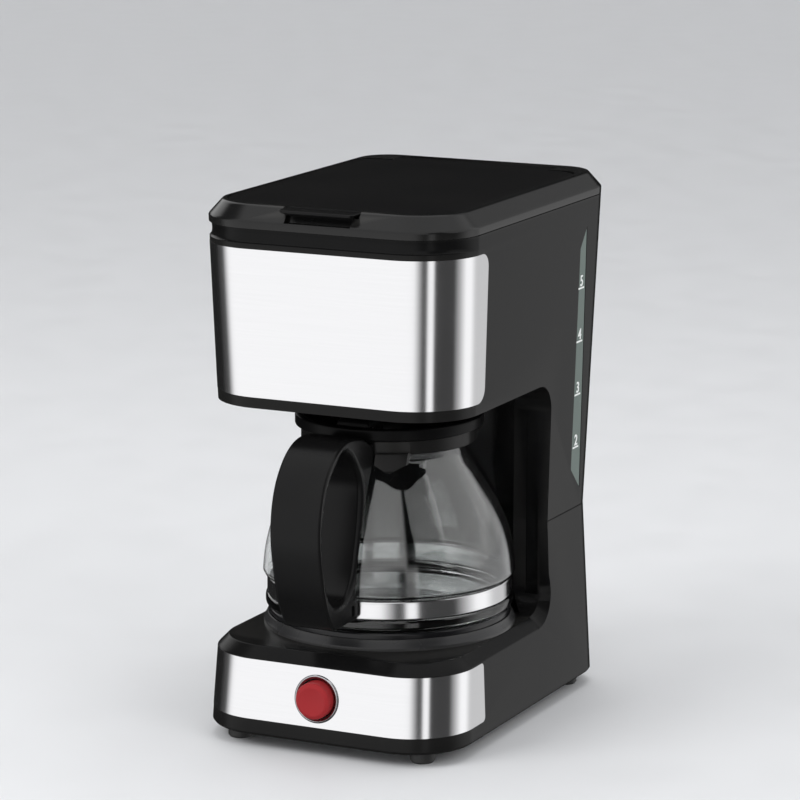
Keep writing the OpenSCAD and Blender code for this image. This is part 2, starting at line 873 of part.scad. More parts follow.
module hose(p) {
    n = len(p) - 1;
    longer = concat(
        [p[0] - unit(p[1] - p[0])],
        [for (i = [1:1:n - 1]) p[i]],
        [p[n] + unit(p[n] - p[n - 1])]
    );
    difference() {
        pipe_run(p, hose_bend, hose_r);
        pipe_run(longer, hose_bend, hose_bore_r + 0.02);
    }
}

module inlet_hose() color("#c8c4bc") hose([
    [hose_x, stub_y, heater_low - 0.2], [hose_x, stub_y, hose_low_z],
    [hose_x, outlet_y, hose_low_z], [hose_x, outlet_y, valve_low_z - 0.2]
]);

module riser_hose() color("#c8c4bc") hose([
    [-hose_x, stub_y, heater_low - 0.2], [-hose_x, stub_y, hose_low_z],
    [-hose_x, riser_y, hose_low_z], [-hose_x, riser_y, riser_top]
]);

module clip(x, y, z) {
    translate([x, y, z]) rotate_extrude($fn = small_fn) translate([hose_r + 0.5, 0]) circle(0.5, $fn = 16);
}

module hose_clips() color("#9a9a9e") {
    clip(hose_x, stub_y, heater_low - 4);
    clip(-hose_x, stub_y, heater_low - 4);
    clip(hose_x, outlet_y, valve_low_z - 4);
    clip(-hose_x, riser_y, riser_top - 4);
}

module level_window() color([0.55, 0.66, 0.62, 0.7]) intersection() {
    difference() {
        loft([[waist_z, 0], [rim_z, 0]]);
        loft([[waist_z, tank_inset], [rim_z, tank_inset]]);
    }
    window_prism(-0.1);
}

module level_marks() color("#e8ece8") intersection() {
    difference() {
        loft([[waist_z, -mark_proud], [rim_z, -mark_proud]]);
        loft([[waist_z, 0], [rim_z, 0]]);
    }
    for (i = [0:mark_count - 1])
        translate([0, mark_y[0], first_mark_z + i * mark_step - mark_h / 2])
            cube([reach, mark_y[1] - mark_y[0], mark_h]);
}

module spray_head() color("#26262a") {
    reach_x = hose_x;
    back = riser_y - carafe_y;
    turn = atan2(-back, reach_x);
    length = norm([reach_x, back]);
    difference() {
        union() {
            upright(-hose_x, riser_y, riser_top - 6, spray_z, hose_bore_r);
            translate([-hose_x, riser_y, spray_z]) sphere(r = 5, $fn = small_fn);
            translate([-hose_x, riser_y, spray_z]) rotate([0, 90, turn])
                cylinder(h = length, r = 4, $fn = small_fn);
            translate([0, carafe_y, spray_z - 6])
                cylinder(h = 9, r1 = spray_r, r2 = spray_r - 6, $fn = small_fn);
        }
        upright(-hose_x, riser_y, riser_top - 7, spray_z, 1.8);
        for (a = [0:60:300]) translate([9 * cos(a), carafe_y + 9 * sin(a), spray_z - 7])
            cylinder(h = 4, r = 1.2, $fn = small_fn);
    }
}

// ---- Brewing ----

module filter_basket() color("#28282a") difference() {
    turned() polygon([
        [stem_hole_r, basket_low_z], [10, basket_low_z], [10, 164.5], [11.8, 164.5],
        [11.8, basket_low_z], [basket_low_r - 3, basket_low_z], [basket_low_r - 3, bay_top + wall],
        [basket_low_r - 1.4, bay_top + wall], [basket_low_r, basket_low_z],
        [basket_r - 3, basket_top - 2], [basket_r, basket_top - 2], [basket_r, basket_top],
        [basket_r - 4.6, basket_top], [basket_low_r - basket_wall, basket_low_z + basket_wall],
        [seal_r + 3, basket_low_z + basket_wall], [seal_r + 2, basket_low_z + 1],
        [stem_hole_r, basket_low_z + 1]
    ]);
    for (a = [45:90:315]) translate([10.9 * cos(a), carafe_y + 10.9 * sin(a), 163])
        cylinder(h = 6, r = 2, $fn = small_fn);
}

module mesh_filter() color("#b09a6a") turned() {
    top = basket_top + 1.2;
    low = basket_low_z + 8;
    r_low = basket_low_r - basket_wall - filter_gap - 6;
    r_top = basket_r - 4.6 - filter_gap;
    polygon([
        [0, low], [r_low, low], [r_top, basket_top], [basket_r - 1, basket_top],
        [basket_r - 1, top], [r_top - 1, top], [r_low - 1, low + 1], [0, low + 1]
    ]);
}

module drip_valve() color("#d8d8d8") {
    upright(0, valve_y, valve_tip_z, valve_tip_z + valve_foot_t, valve_foot_r);
    upright(0, valve_y, valve_tip_z + valve_foot_t - eps, basket_low_z + 4.6, stem_r);
    upright(0, valve_y, basket_low_z + 2.6, basket_low_z + 4.2, seal_r - 1);
}

module valve_spring() color("#b0b0b4") {
    low = valve_tip_z + valve_foot_t + 0.1;
    translate([0, valve_y, low]) coil(spring_coil_r, spring_wire_r, basket_low_z - 0.1 - low, spring_turns);
}

module valve_seal() color("#b04030") difference() {
    upright(0, valve_y, basket_low_z + 1.1, basket_low_z + 2.6, seal_r);
    upright(0, valve_y, basket_low_z, basket_low_z + 4, stem_r);
}

// ---- Lid ----

module lid() color("#141415") difference() {
    union() {
        translate([0, 0, body_h - lid_t])
            linear_extrude(lid_t) lid_outline(lid_half, lid_front, lid_back, lid_corner_r, lid_back_r);
        translate([-barrel_half, lid_back - 1, body_h - lid_t])
            cube([2 * barrel_half, hinge_y - lid_back + 1, lid_t]);
        along_x(-barrel_half, barrel_half, hinge_y, hinge_z, hinge_drop);
        translate([-tab_w / 2, top_front - 0.6, body_h - lid_t])
            cube([tab_w, lid_front - top_front + 2, 2.4]);
    }
    both_sides() along_x(barrel_half - 8, barrel_half + 1, hinge_y, hinge_z, hinge_bore_r);
}

module lid_liner() color("#1e1e20") {
    top = body_h - lid_t;
    deep = 5;
    half = lid_half - 7;
    front = lid_front + 7;
    rear = hinge_y - 14;
    translate([0, 0, top - deep]) difference() {
        linear_extrude(deep) lid_outline(half, front, rear, lid_corner_r - 7, 4);
        translate([0, 0, 1.6]) linear_extrude(deep)
            lid_outline(half - 1.6, front + 1.6, rear - 1.6, lid_corner_r - 8.6, 2.4);
    }
}

module hinge_pins() color("#a8a8ac") both_sides()
    along_x(barrel_half - 7.5, barrel_half + lid_gap + pin_depth, hinge_y, hinge_z, hinge_pin_r);

// ---- Carafe ----

module carafe_glass() color([0.85, 0.9, 0.92, 0.35]) {
    belly = spline(belly_points, 4);
    inside = reversed(offset_curve(belly, glass_wall));
    turned() polygon(concat(
        [
            [0, glass_z + 0.8], [50, glass_z + 0.8], [52, glass_z], [59.6, glass_z],
            [61.4, glass_z + 0.8], [62.2, glass_z + 2.4], [62.2, glass_z + 5.2], [groove_r, glass_z + 6.6],
            [groove_r, band_high + 0.4]
        ],
        belly,
        inside,
        [
            [groove_r - glass_wall, band_high], [groove_r - glass_wall, glass_z + 6],
            [groove_r - glass_wall - 3, glass_z + 3.4], [0, glass_z + 3.4]
        ]
    ));
}

module carafe_collar() color("#1a1a1c") {
    difference() {
        turned() ring_section(mouth_r + 0.35, collar_r, collar_low, collar_high);
        translate([-handle_w / 2 - 0.2, carafe_y - collar_r - 1, collar_low - 1])
            cube([handle_w + 0.4, 2.6, 20]);
    }
    // Short tabs on both sides of the handle
    both_sides() intersection() {
        turned() polygon([
            [collar_r - 0.4, collar_low + 1], [collar_r + 1.8, collar_low + 1],
            [collar_r + 4.4, 136.4], [collar_r + 3, 135.4]
        ]);
        translate([handle_w / 2 + 0.4, carafe_y - 60, 130]) cube([14, 30, 20]);
    }
}

module carafe_handle() color("#18181a") {
    foot_y = carafe_y - band_outer_r - grip_gap;
    neck_y = carafe_y - collar_r - grip_gap;
    shape = concat(
        spline(handle_outer, 4),
        [[-92, handle_low], [foot_y, handle_low], [foot_y, band_high + 0.4], [-71.9, 76]],
        spline(handle_inner, 3),
        [[neck_y, collar_low], [neck_y, collar_high - 0.2]]
    );
    difference() {
        across(-handle_w / 2, handle_w / 2) difference() {
            polygon(shape);
            polygon(closed_spline(handle_hole, 4));
        }
        for (s = screw_places) {
            along_x(-handle_w / 2 - 1, handle_w / 2 - 2, s[0], s[1], screw_r);
            along_x(-handle_w / 2 - 1, head_end - handle_w / 2, s[0], s[1], head_r);
        }
    }
}

screw_places = [[-78.5, 70.5], [-60.5, 147.5]];
head_end = 2.5;

module handle_screws() color("#8a8a8e") for (s = screw_places) {
    along_x(head_end - handle_w / 2 - eps, handle_w / 2 - 2, s[0], s[1], screw_r);
    along_x(0.6 - handle_w / 2, head_end - handle_w / 2, s[0], s[1], head_r);
}

module carafe_band() color("#d8d8da") turned() ring_section(groove_r + touch, band_outer_r, band_low, band_high);

module carafe_lid() color("#161618") {
    r = carafe_lid_r;
    top = carafe_lid_top;
    difference() {
        union() {
            turned() polygon([
                [5, 151.4], [36, 151.4], [36, 144.6], [37.4, 144.6], [37.4, 151], [r - 0.8, 151],
                [r, 152], [r, top - 1.4], [r - 1.4, top], [r - 4, top], [r - 6, 154], [9, 153.4],
                [8, 156.4], [5, 156.4]
            ]);
            // Thumb lever beside the handle
            translate([-9, carafe_y - 41, 152]) cube([18, 16, 6.4]);
            translate([-9, carafe_y - 41, 158.2]) cube([18, 8, 2]);
        }
        along_x(-10, 10, carafe_y - 37, 155, 1.25 + touch);
    }
}

module carafe_lid_pin() color("#a8a8ac") along_x(-9, 9, carafe_y - 37, 155, 1.25);

// ---- Nodes ----

base_housing();
upper_housing();
top_frame();
base_cover();
feet();
base_screws();
base_band();
head_band();
switch_bezel();
switch_button();
switch_body();
switch_spring();
cord_inlet();
power_leads();
warming_plate();
plate_ring();
heating_element();
heater_clamp();
clamp_screws();
thermostat();
thermal_fuse();
water_tank();
tank_grommet();
check_valve();
inlet_hose();
riser_hose();
hose_clips();
level_window();
level_marks();
spray_head();
filter_basket();
mesh_filter();
drip_valve();
valve_spring();
valve_seal();
lid();
lid_liner();
hinge_pins();
carafe_glass();
carafe_collar();
carafe_handle();
carafe_band();
carafe_lid();
carafe_lid_pin();
handle_screws();
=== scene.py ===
import logging
import math
from dataclasses import dataclass, field
from enum import Enum
from typing import Callable, Optional, Sequence, Union

import bmesh
import bpy
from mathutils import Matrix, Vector
from mathutils.kdtree import KDTree


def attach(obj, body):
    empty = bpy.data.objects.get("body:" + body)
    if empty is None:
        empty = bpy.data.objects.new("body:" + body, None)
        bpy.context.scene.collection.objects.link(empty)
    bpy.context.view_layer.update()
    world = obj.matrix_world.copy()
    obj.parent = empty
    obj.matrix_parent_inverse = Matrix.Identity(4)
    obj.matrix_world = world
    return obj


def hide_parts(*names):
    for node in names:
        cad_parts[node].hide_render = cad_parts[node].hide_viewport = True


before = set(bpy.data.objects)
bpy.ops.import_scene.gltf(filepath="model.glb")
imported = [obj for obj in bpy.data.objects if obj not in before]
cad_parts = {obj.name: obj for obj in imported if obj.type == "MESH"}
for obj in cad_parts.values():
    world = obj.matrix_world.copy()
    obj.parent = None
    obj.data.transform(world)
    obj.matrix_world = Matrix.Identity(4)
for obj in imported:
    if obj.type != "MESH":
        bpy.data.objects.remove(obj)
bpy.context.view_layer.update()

# The visual model of a drip coffee maker. Sizes are millimetres, as the maker reads them;
# the bench turns them into metres where a shape is laid down.

LOG = logging.getLogger("coffee_maker")
MM = 0.001
TURN = 2 * math.pi
MERGE = 1e-6

Flat = tuple[float, float]
Place = tuple[float, float, float]
Colour = tuple[float, float, float]
Inset = Union[float, Callable[[float], float]]


class Body(Enum):
    """The bodies a piece can ride on."""

    ROOT = "root"
    LID = "lid"
    CARAFE = "carafe"
    BUTTON = "button"


class Axis(Enum):
    """The lines a profile can be turned about."""

    UP = (0.0, 0.0, 1.0)
    FORWARD = (0.0, -1.0, 0.0)
    LEANING = (0.0, -0.9945, 0.1043)


class Cut(Enum):
    """What a second solid does to the first."""

    AWAY = "DIFFERENCE"
    KEEP = "INTERSECT"
    JOIN = "UNION"


# ---- Curves ----


def spline(points: Sequence[Flat], steps: int, closed: bool = False) -> list[Flat]:
    """Runs a smooth curve through points.

    Args:
        points: Places the curve passes through.
        steps: Straight steps between two of them.
        closed: Whether the end joins the start.

    Returns:
        The points of the curve.
    """
    count = len(points)
    spans = count if closed else count - 1
    out: list[Flat] = []
    for i in range(spans):
        if closed:
            a, b, c, d = (points[(i + k) % count] for k in (-1, 0, 1, 2))
        else:
            a, b, c, d = (points[min(max(i + k, 0), count - 1)] for k in (-1, 0, 1, 2))
        for k in range(steps):
            t = k / steps
            out.append(tuple(
                0.5 * (2 * q + (r - p) * t + (2 * p - 5 * q + 4 * r - s) * t * t
                       + (3 * q - p - 3 * r + s) * t ** 3)
                for p, q, r, s in zip(a, b, c, d)))
    if not closed:
        out.append(tuple(points[-1]))
    return out


def offset(points: Sequence[Flat], distance: float, closed: bool = True) -> list[Flat]:
    """Moves an outline to its left by distance.

    Args:
        points: The outline, in order.
        distance: How far each point moves.
        closed: Whether the outline joins its own start.

    Returns:
        The moved outline.
    """
    count = len(points)
    out: list[Flat] = []
    for i, point in enumerate(points):
        before = points[i - 1] if closed or i else points[0]
        after = points[(i + 1) % count] if closed else points[min(i + 1, count - 1)]
        run, rise = after[0] - before[0], after[1] - before[1]
        length = math.hypot(run, rise) or 1.0
        out.append((point[0] - distance * rise / length, point[1] + distance * run / length))
    return out


def arc(centre: Flat, radius: float, start: float, end: float, steps: int) -> list[Flat]:
    """Points of a round corner, from angle start to angle end in degrees."""
    angles = (math.radians(start + (end - start) * i / steps) for i in range(steps + 1))
    return [(centre[0] + radius * math.cos(a), centre[1] + radius * math.sin(a)) for a in angles]


def sides(outline: Sequence[Flat], x: float) -> list[Place]:
    """Stands a [y, z] outline up at distance x from the middle plane."""
    return [(x, y, z) for y, z in outline]


# ---- Bench: the few operators that every shape is made with ----


class Bench:
    """Hand tools that lay down, turn, cut, round and smooth a shape."""

    @staticmethod
    def take(obj: bpy.types.Object) -> bpy.types.Object:
        """Puts down everything else and picks up obj."""
        if bpy.context.object and bpy.context.object.mode != "OBJECT":
            bpy.ops.object.mode_set(mode="OBJECT")
        bpy.ops.object.select_all(action="DESELECT")
        obj.select_set(True)
        bpy.context.view_layer.objects.active = obj
        return obj

    @staticmethod
    def name(obj: bpy.types.Object, name: str) -> bpy.types.Object:
        """Names an object and its mesh."""
        obj.name = name
        obj.data.name = name
        return obj

    @staticmethod
    def place(obj: bpy.types.Object, points: Sequence[Place], old: Optional[Sequence[Place]] = None) -> None:
        """Moves the selected vertices of obj to points.

        Args:
            obj: Object in edit mode.
            points: New places in millimetres, in the order of the loop.
            old: Where the same vertices are now; left out for a fresh loop.
        """
        mesh = bmesh.from_edit_mesh(obj.data)
        chosen = sorted((v for v in mesh.verts if v.select), key=lambda v: v.index)
        if old is not None:
            seats = KDTree(len(old))
            for i, seat in enumerate(old):
                seats.insert(Vector(seat) * MM, i)
            seats.balance()
            chosen.sort(key=lambda v: seats.find(v.co)[1])
        for vertex, point in zip(chosen, points):
            vertex.co = Vector(point) * MM
        bmesh.update_edit_mesh(obj.data)

    @classmethod
    def loop(cls, name: str, points: Sequence[Place]) -> bpy.types.Object:
        """Lays one closed line of edges through points and stays in edit mode."""
        if bpy.context.object and bpy.context.object.mode != "OBJECT":
            bpy.ops.object.mode_set(mode="OBJECT")
        bpy.ops.object.select_all(action="DESELECT")
        bpy.ops.mesh.primitive_circle_add(vertices=len(points), radius=MM, location=(0, 0, 0))
        obj = cls.name(bpy.context.object, name)
        bpy.ops.object.mode_set(mode="EDIT")
        bpy.ops.mesh.select_all(action="SELECT")
        cls.place(obj, points)
        return obj

    @classmethod
    def loft(cls, name: str, rings: Sequence[Sequence[Place]]) -> bpy.types.Object:
        """Extrudes a loop through rings of the same count and closes both ends.

        Args:
            name: Name of the new object.
            rings: Loops of points, one after another.

        Returns:
            A closed solid.
        """
        obj = cls.loop(name, rings[0])
        for before, ring in zip(rings, rings[1:]):
            bpy.ops.mesh.extrude_region_move(TRANSFORM_OT_translate={"value": (0, 0, 0)})
            cls.place(obj, ring, before)
        bpy.ops.mesh.select_all(action="SELECT")
        bpy.ops.mesh.fill_holes(sides=0)
        bpy.ops.mesh.select_all(action="SELECT")
        bpy.ops.mesh.normals_make_consistent(inside=False)
        bpy.ops.object.mode_set(mode="OBJECT")
        return obj

    @classmethod
    def turned(
        cls, name: str, profile: Sequence[Flat], centre: Place, axis: Axis = Axis.UP, steps: int = 96
    ) -> bpy.types.Object:
        """Spins a closed [radius, height] profile about an axis through centre.

        Args:
            name: Name of the new object.
            profile: Outline of half the section.
            centre: Origin of the profile, in millimetres.
            axis: Line the profile turns about.
            steps: Steps in a full turn.

        Returns:
            A closed solid of revolution.
        """
        start, along = Vector(centre), Vector(axis.value)
        points = [tuple(start + Vector((r, 0, 0)) + along * h) for r, h in profile]
        obj = cls.loop(name, points)
        mesh = bmesh.from_edit_mesh(obj.data)
        near = MERGE / MM
        on_axis = [
            e for e in mesh.edges
            if all((v.co / MM - start).cross(along).length < near for v in e.verts)]
        bmesh.ops.delete(mesh, geom=on_axis, context="EDGES_FACES")
        bmesh.update_edit_mesh(obj.data)
        bpy.ops.mesh.select_all(action="SELECT")
        bpy.ops.mesh.spin(steps=steps, angle=TURN, center=tuple(start * MM), axis=tuple(along))
        bpy.ops.mesh.select_all(action="SELECT")
        bpy.ops.mesh.remove_doubles(threshold=MERGE)
        bpy.ops.mesh.delete_loose()
        bpy.ops.mesh.select_all(action="SELECT")
        bpy.ops.mesh.normals_make_consistent(inside=False)
        bpy.ops.object.mode_set(mode="OBJECT")
        return obj

    @classmethod
    def block(cls, name: str, low: Place, high: Place, rounding: float = 0.0) -> bpy.types.Object:
        """A box between two corners, its edges rounded."""
        bpy.ops.object.select_all(action="DESELECT")
        centre = (Vector(low) + Vector(high)) / 2 * MM
        bpy.ops.mesh.primitive_cube_add(size=1, location=centre)
        obj = cls.name(bpy.context.object, name)
        obj.scale = (Vector(high) - Vector(low)) * MM
        bpy.ops.object.transform_apply(location=True, rotation=True, scale=True)
        if rounding:
            cls.soften(obj, rounding)
        return obj

    @classmethod
    def rod(cls, name: str, start: Place, end: Place, radius: float, steps: int = 48) -> bpy.types.Object:
        """A straight round bar from start to end."""
        a, b = Vector(start) * MM, Vector(end) * MM
        bpy.ops.object.select_all(action="DESELECT")
        bpy.ops.mesh.primitive_cylinder_add(
            vertices=steps, radius=radius * MM, depth=(b - a).length, location=(a + b) / 2,
            rotation=(b - a).to_track_quat("Z", "Y").to_euler())
        obj = cls.name(bpy.context.object, name)
        bpy.ops.object.transform_apply(location=True, rotation=True, scale=True)
        return obj

    @classmethod
    def cut(cls, target: bpy.types.Object, cutter: bpy.types.Object, how: Cut = Cut.AWAY) -> bpy.types.Object:
        """Applies one solid to another and removes the tool.

        Args:
            target: Solid that is changed.
            cutter: Solid that changes it.
            how: Whether it cuts away, keeps the overlap or joins.

        Returns:
            The target.
        """
        kept = target.data.copy()
        for solver in ("MANIFOLD", "EXACT"):
            cls.take(target)
            modifier = target.modifiers.new("cut", "BOOLEAN")
            modifier.operation = how.value
            modifier.solver = solver
            modifier.object = cutter
            bpy.ops.object.modifier_apply(modifier=modifier.name)
            if len(target.data.polygons) and len(target.data.polygons) != len(kept.polygons):
                break
            LOG.info("%s: %s gave nothing with %s", target.name, solver, cutter.name)
            target.data = kept.copy()
        bpy.data.objects.remove(cutter, do_unlink=True)
        return target

    @classmethod
    def soften(
        cls, obj: bpy.types.Object, width: float, segments: int = 3, angle: float = 35
    ) -> bpy.types.Object:
        """Rounds the edges sharper than angle by width."""
        cls.take(obj)
        modifier = obj.modifiers.new("round", "BEVEL")
        modifier.width = width * MM
        modifier.segments = segments
        modifier.limit_method = "ANGLE"
        modifier.angle_limit = math.radians(angle)
        bpy.ops.object.modifier_apply(modifier=modifier.name)
        return obj

    @classmethod
    def smooth(cls, obj: bpy.types.Object, angle: float = 32) -> bpy.types.Object:
        """Shades obj smooth up to angle, and lets the large flats stay flat."""
        cls.take(obj)
        bpy.ops.object.shade_smooth_by_angle(angle=math.radians(angle))
        modifier = obj.modifiers.new("flats", "WEIGHTED_NORMAL")
        modifier.keep_sharp = True
        bpy.ops.object.modifier_apply(modifier=modifier.name)
        return obj

    @classmethod
    def join(cls, parts: Sequence[bpy.types.Object], name: str) -> bpy.types.Object:
        """Makes one object of several."""
        cls.take(parts[0])
        for part in parts[1:]:
            part.select_set(True)
        bpy.ops.object.join()
        return cls.name(bpy.context.object, name)


# ---- Finishes ----


class Wiring:
    """Adds nodes to a tree and links them."""

    def __init__(self, tree: bpy.types.NodeTree) -> None:
        """Starts on a tree."""
        self.tree = tree

    def add(self, kind: str, inputs: Optional[dict] = None, **settings: object) -> bpy.types.Node:
        """Adds one node.

        Args:
            kind: Node type, such as ShaderNodeMath.
            inputs: Values or output sockets for its inputs, by name or number.
            settings: Properties of the node.

        Returns:
            The node.
        """
        node = self.tree.nodes.new(kind)
        for key, value in settings.items():
            setattr(node, key, value)
        for key, value in (inputs or {}).items():
            if isinstance(value, bpy.types.NodeSocket):
                self.tree.links.new(value, node.inputs[key])
            else:
                node.inputs[key].default_value = value
        return node

    def maths(self, operation: str, *values: object) -> bpy.types.NodeSocket:
        """Result of a maths node on values or sockets."""
        node = self.add("ShaderNodeMath", dict(enumerate(values)), operation=operation)
        return node.outputs[0]

    def noise(self, scale: float, vector: bpy.types.NodeSocket, detail: float = 3.0) -> bpy.types.NodeSocket:
        """Noise between 0 and 1 at scale waves to the metre."""
        return self.add(
            "ShaderNodeTexNoise", {"Scale": scale, "Vector": vector, "Detail": detail}).outputs["Fac"]

    def spread(
        self, value: bpy.types.NodeSocket, low: float, high: float, to: Sequence
    ) -> bpy.types.NodeSocket:
        """Maps value from low..high to the two ends of to, clamped."""
        return self.add("ShaderNodeMapRange", {
            "Value": value, "From Min": low, "From Max": high, "To Min": to[0], "To Max": to[1],
        }).outputs["Result"]

    def blend(self, factor: object, first: object, second: object) -> bpy.types.NodeSocket:
        """Mixes two colours."""
        node = self.add("ShaderNodeMix", data_type="RGBA")
        for socket, value in zip((node.inputs[0], node.inputs[6], node.inputs[7]), (factor, first, second)):
            if isinstance(value, bpy.types.NodeSocket):
                self.tree.links.new(value, socket)
            else:
                socket.default_value = value
        return node.outputs[2]


def rgba(colour: Colour) -> tuple[float, float, float, float]:
    """A colour with full alpha."""
    return (*colour, 1.0)


class Effect:
    """Shader node groups that several finishes share, each built once."""

    made: dict[str, bpy.types.NodeTree] = {}

    @classmethod
    def group(cls, name: str, inputs: dict[str, str], outputs: dict[str, str]) -> Optional[Wiring]:
        """Starts a group, or returns None where it is there already."""
        if name in cls.made:
            return None
        tree = bpy.data.node_groups.new(name, "ShaderNodeTree")
        for label, kind in inputs.items():
            tree.interface.new_socket(label, in_out="INPUT", socket_type=kind)
        for label, kind in outputs.items():
            tree.interface.new_socket(label, in_out="OUTPUT", socket_type=kind)
        cls.made[name] = tree
        return Wiring(tree)

    @classmethod
    def surface(cls) -> bpy.types.NodeTree:
        """Fine grain, smudges and dust that settles on what faces up."""
        wires = cls.group(
            "moulded_surface",
            {"Colour": "NodeSocketColor", "Dust Colour": "NodeSocketColor", "Dust": "NodeSocketFloat",
             "Grain Scale": "NodeSocketFloat", "Low": "NodeSocketFloat", "High": "NodeSocketFloat",
             "Wear": "NodeSocketFloat"},
            {"Colour": "NodeSocketColor", "Roughness": "NodeSocketFloat", "Height": "NodeSocketFloat"})
        if wires:
            given = wires.add("NodeGroupInput").outputs
            place = wires.add("ShaderNodeTexCoord").outputs["Object"]
            geometry = wires.add("ShaderNodeNewGeometry").outputs
            up = wires.add("ShaderNodeSeparateXYZ", {0: geometry["Normal"]}).outputs["Z"]
            smudge = wires.noise(22.0, place, 4.0)
            speck = wires.noise(900.0, place, 2.0)
            level = wires.maths("MULTIPLY", wires.spread(up, 0.4, 1.0, (0.0, 1.0)),
                                wires.spread(speck, 0.55, 0.75, (0.0, 1.0)))
            dust = wires.maths("MULTIPLY", level, given["Dust"])
            edge = wires.maths("MULTIPLY", wires.spread(geometry["Pointiness"], 0.52, 0.62, (0.0, 1.0)),
                               given["Wear"])
            tone = wires.blend(wires.spread(smudge, 0.3, 0.7, (0.0, 1.0)), given["Colour"],
                               wires.blend(0.008, given["Colour"], given["Dust Colour"]))
            shown = wires.blend(wires.maths("MAXIMUM", dust, edge), tone, given["Dust Colour"])
            grain = wires.add("ShaderNodeTexNoise", {"Vector": place, "Detail": 2.0})
            wires.tree.links.new(given["Grain Scale"], grain.inputs["Scale"])
            share = wires.spread(smudge, 0.35, 0.65, (0.0, 1.0))
            span = wires.maths("SUBTRACT", given["High"], given["Low"])
            rough = wires.maths("MULTIPLY_ADD", share, span, given["Low"])
            wires.add("NodeGroupOutput", {
                "Colour": shown, "Roughness": rough, "Height": grain.outputs["Fac"]})
        return cls.made["moulded_surface"]

    @classmethod
    def brushed(cls) -> bpy.types.NodeTree:
        """Fine lines of a brushed or polished metal, and faint finger marks."""
        wires = cls.group(
            "brushed_metal",
            {"Lines": "NodeSocketVector", "Low": "NodeSocketFloat", "High": "NodeSocketFloat"},
            {"Roughness": "NodeSocketFloat", "Height": "NodeSocketFloat", "Shade": "NodeSocketFloat"})
        if wires:
            given = wires.add("NodeGroupInput").outputs
            place = wires.add("ShaderNodeTexCoord").outputs["Object"]
            drawn = wires.add("ShaderNodeVectorMath", {0: place, 1: given["Lines"]}, operation="MULTIPLY")
            line = wires.noise(1.0, drawn.outputs[0], 3.0)
            mark = wires.noise(30.0, place, 3.0)
            share = wires.maths("MULTIPLY_ADD", wires.spread(mark, 0.45, 0.75, (0.0, 1.0)), 0.5,
                                wires.maths("MULTIPLY", line, 0.5))
            span = wires.maths("SUBTRACT", given["High"], given["Low"])
            rough = wires.maths("MULTIPLY_ADD", share, span, given["Low"])
            wires.add("NodeGroupOutput", {
                "Roughness": rough, "Height": line, "Shade": wires.spread(line, 0.3, 0.7, (0.0, 1.0))})
        return cls.made["brushed_metal"]


@dataclass(frozen=True)
class Finish:
    """A material: colours, gloss and the size of its grain."""

    name: str
    colour: Colour
    low: float = 0.3
    high: float = 0.4
    grain_scale: float = 1400.0
    grain: float = 0.05
    dust: float = 0.0
    dust_colour: Colour = (0.30, 0.29, 0.27)
    wear: float = 0.0
    metallic: float = 0.0
    specular: float = 0.5
    transmission: float = 0.0

    def shader(self) -> tuple[bpy.types.Material, Wiring, bpy.types.Node]:
        """Starts the material with its plain shader values set."""
        material = bpy.data.materials.new(self.name)
        material.use_nodes = True
        material.node_tree.nodes.clear()
        wires = Wiring(material.node_tree)
        shader = wires.add("ShaderNodeBsdfPrincipled", {
            "Metallic": self.metallic, "Specular IOR Level": self.specular,
            "Transmission Weight": self.transmission})
        wires.add("ShaderNodeOutputMaterial", {"Surface": shader.outputs[0]})
        return material, wires, shader

    def bump(self, wires: Wiring, shader: bpy.types.Node, height: bpy.types.NodeSocket, depth: float) -> None:
        """Feeds a height to the shader's normal."""
        node = wires.add("ShaderNodeBump", {"Height": height, "Strength": depth, "Distance": 0.0003})
        wires.tree.links.new(node.outputs[0], shader.inputs["Normal"])

    def build(self) -> bpy.types.Material:
        """Builds the material."""
        material, wires, shader = self.shader()
        group = wires.add("ShaderNodeGroup", node_tree=Effect.surface())
        for label, value in (
            ("Colour", rgba(self.colour)), ("Dust Colour", rgba(self.dust_colour)), ("Dust", self.dust),
            ("Grain Scale", self.grain_scale), ("Low", self.low), ("High", self.high), ("Wear", self.wear),
        ):
            group.inputs[label].default_value = value
        wires.tree.links.new(group.outputs["Colour"], shader.inputs["Base Color"])
        wires.tree.links.new(group.outputs["Roughness"], shader.inputs["Roughness"])
        self.bump(wires, shader, group.outputs["Height"], self.grain)
        return material

    def material(self) -> bpy.types.Material:
        """The material, built the first time it is asked for."""
        return bpy.data.materials.get(self.name) or self.build()


@dataclass(frozen=True)
class Brushed(Finish):
    """Metal sheet with fine lines drawn along one direction."""

    lines: Place = (60.0, 60.0, 5000.0)
    shade: Colour = (0.60, 0.61, 0.62)

    def build(self) -> bpy.types.Material:
        """Builds the metal."""
        material, wires, shader = self.shader()
        group = wires.add("ShaderNodeGroup", node_tree=Effect.brushed())
        group.inputs["Lines"].default_value = self.lines
        group.inputs["Low"].default_value = self.low
        group.inputs["High"].default_value = self.high
        tint = wires.blend(group.outputs["Shade"], rgba(self.shade), rgba(self.colour))
        wires.tree.links.new(tint, shader.inputs["Base Color"])
        wires.tree.links.new(group.outputs["Roughness"], shader.inputs["Roughness"])
        self.bump(wires, shader, group.outputs["Height"], self.grain)
        return material


@dataclass(frozen=True)
class Clear(Finish):
    """Blown glass or clear plastic with faint waves in its surface."""

    ior: float = 1.5

    def build(self) -> bpy.types.Material:
        """Builds the glass."""
        material, wires, shader = self.shader()
        shader.inputs["IOR"].default_value = self.ior
        shader.inputs["Base Color"].default_value = rgba(self.colour)
        place = wires.add("ShaderNodeTexCoord").outputs["Object"]
        wave = wires.noise(18.0, place, 1.0)
        smear = wires.noise(40.0, place, 4.0)
        wires.tree.links.new(wires.spread(smear, 0.4, 0.7, (self.low, self.high)), shader.inputs["Roughness"])
        self.bump(wires, shader, wave, self.grain)
        return material


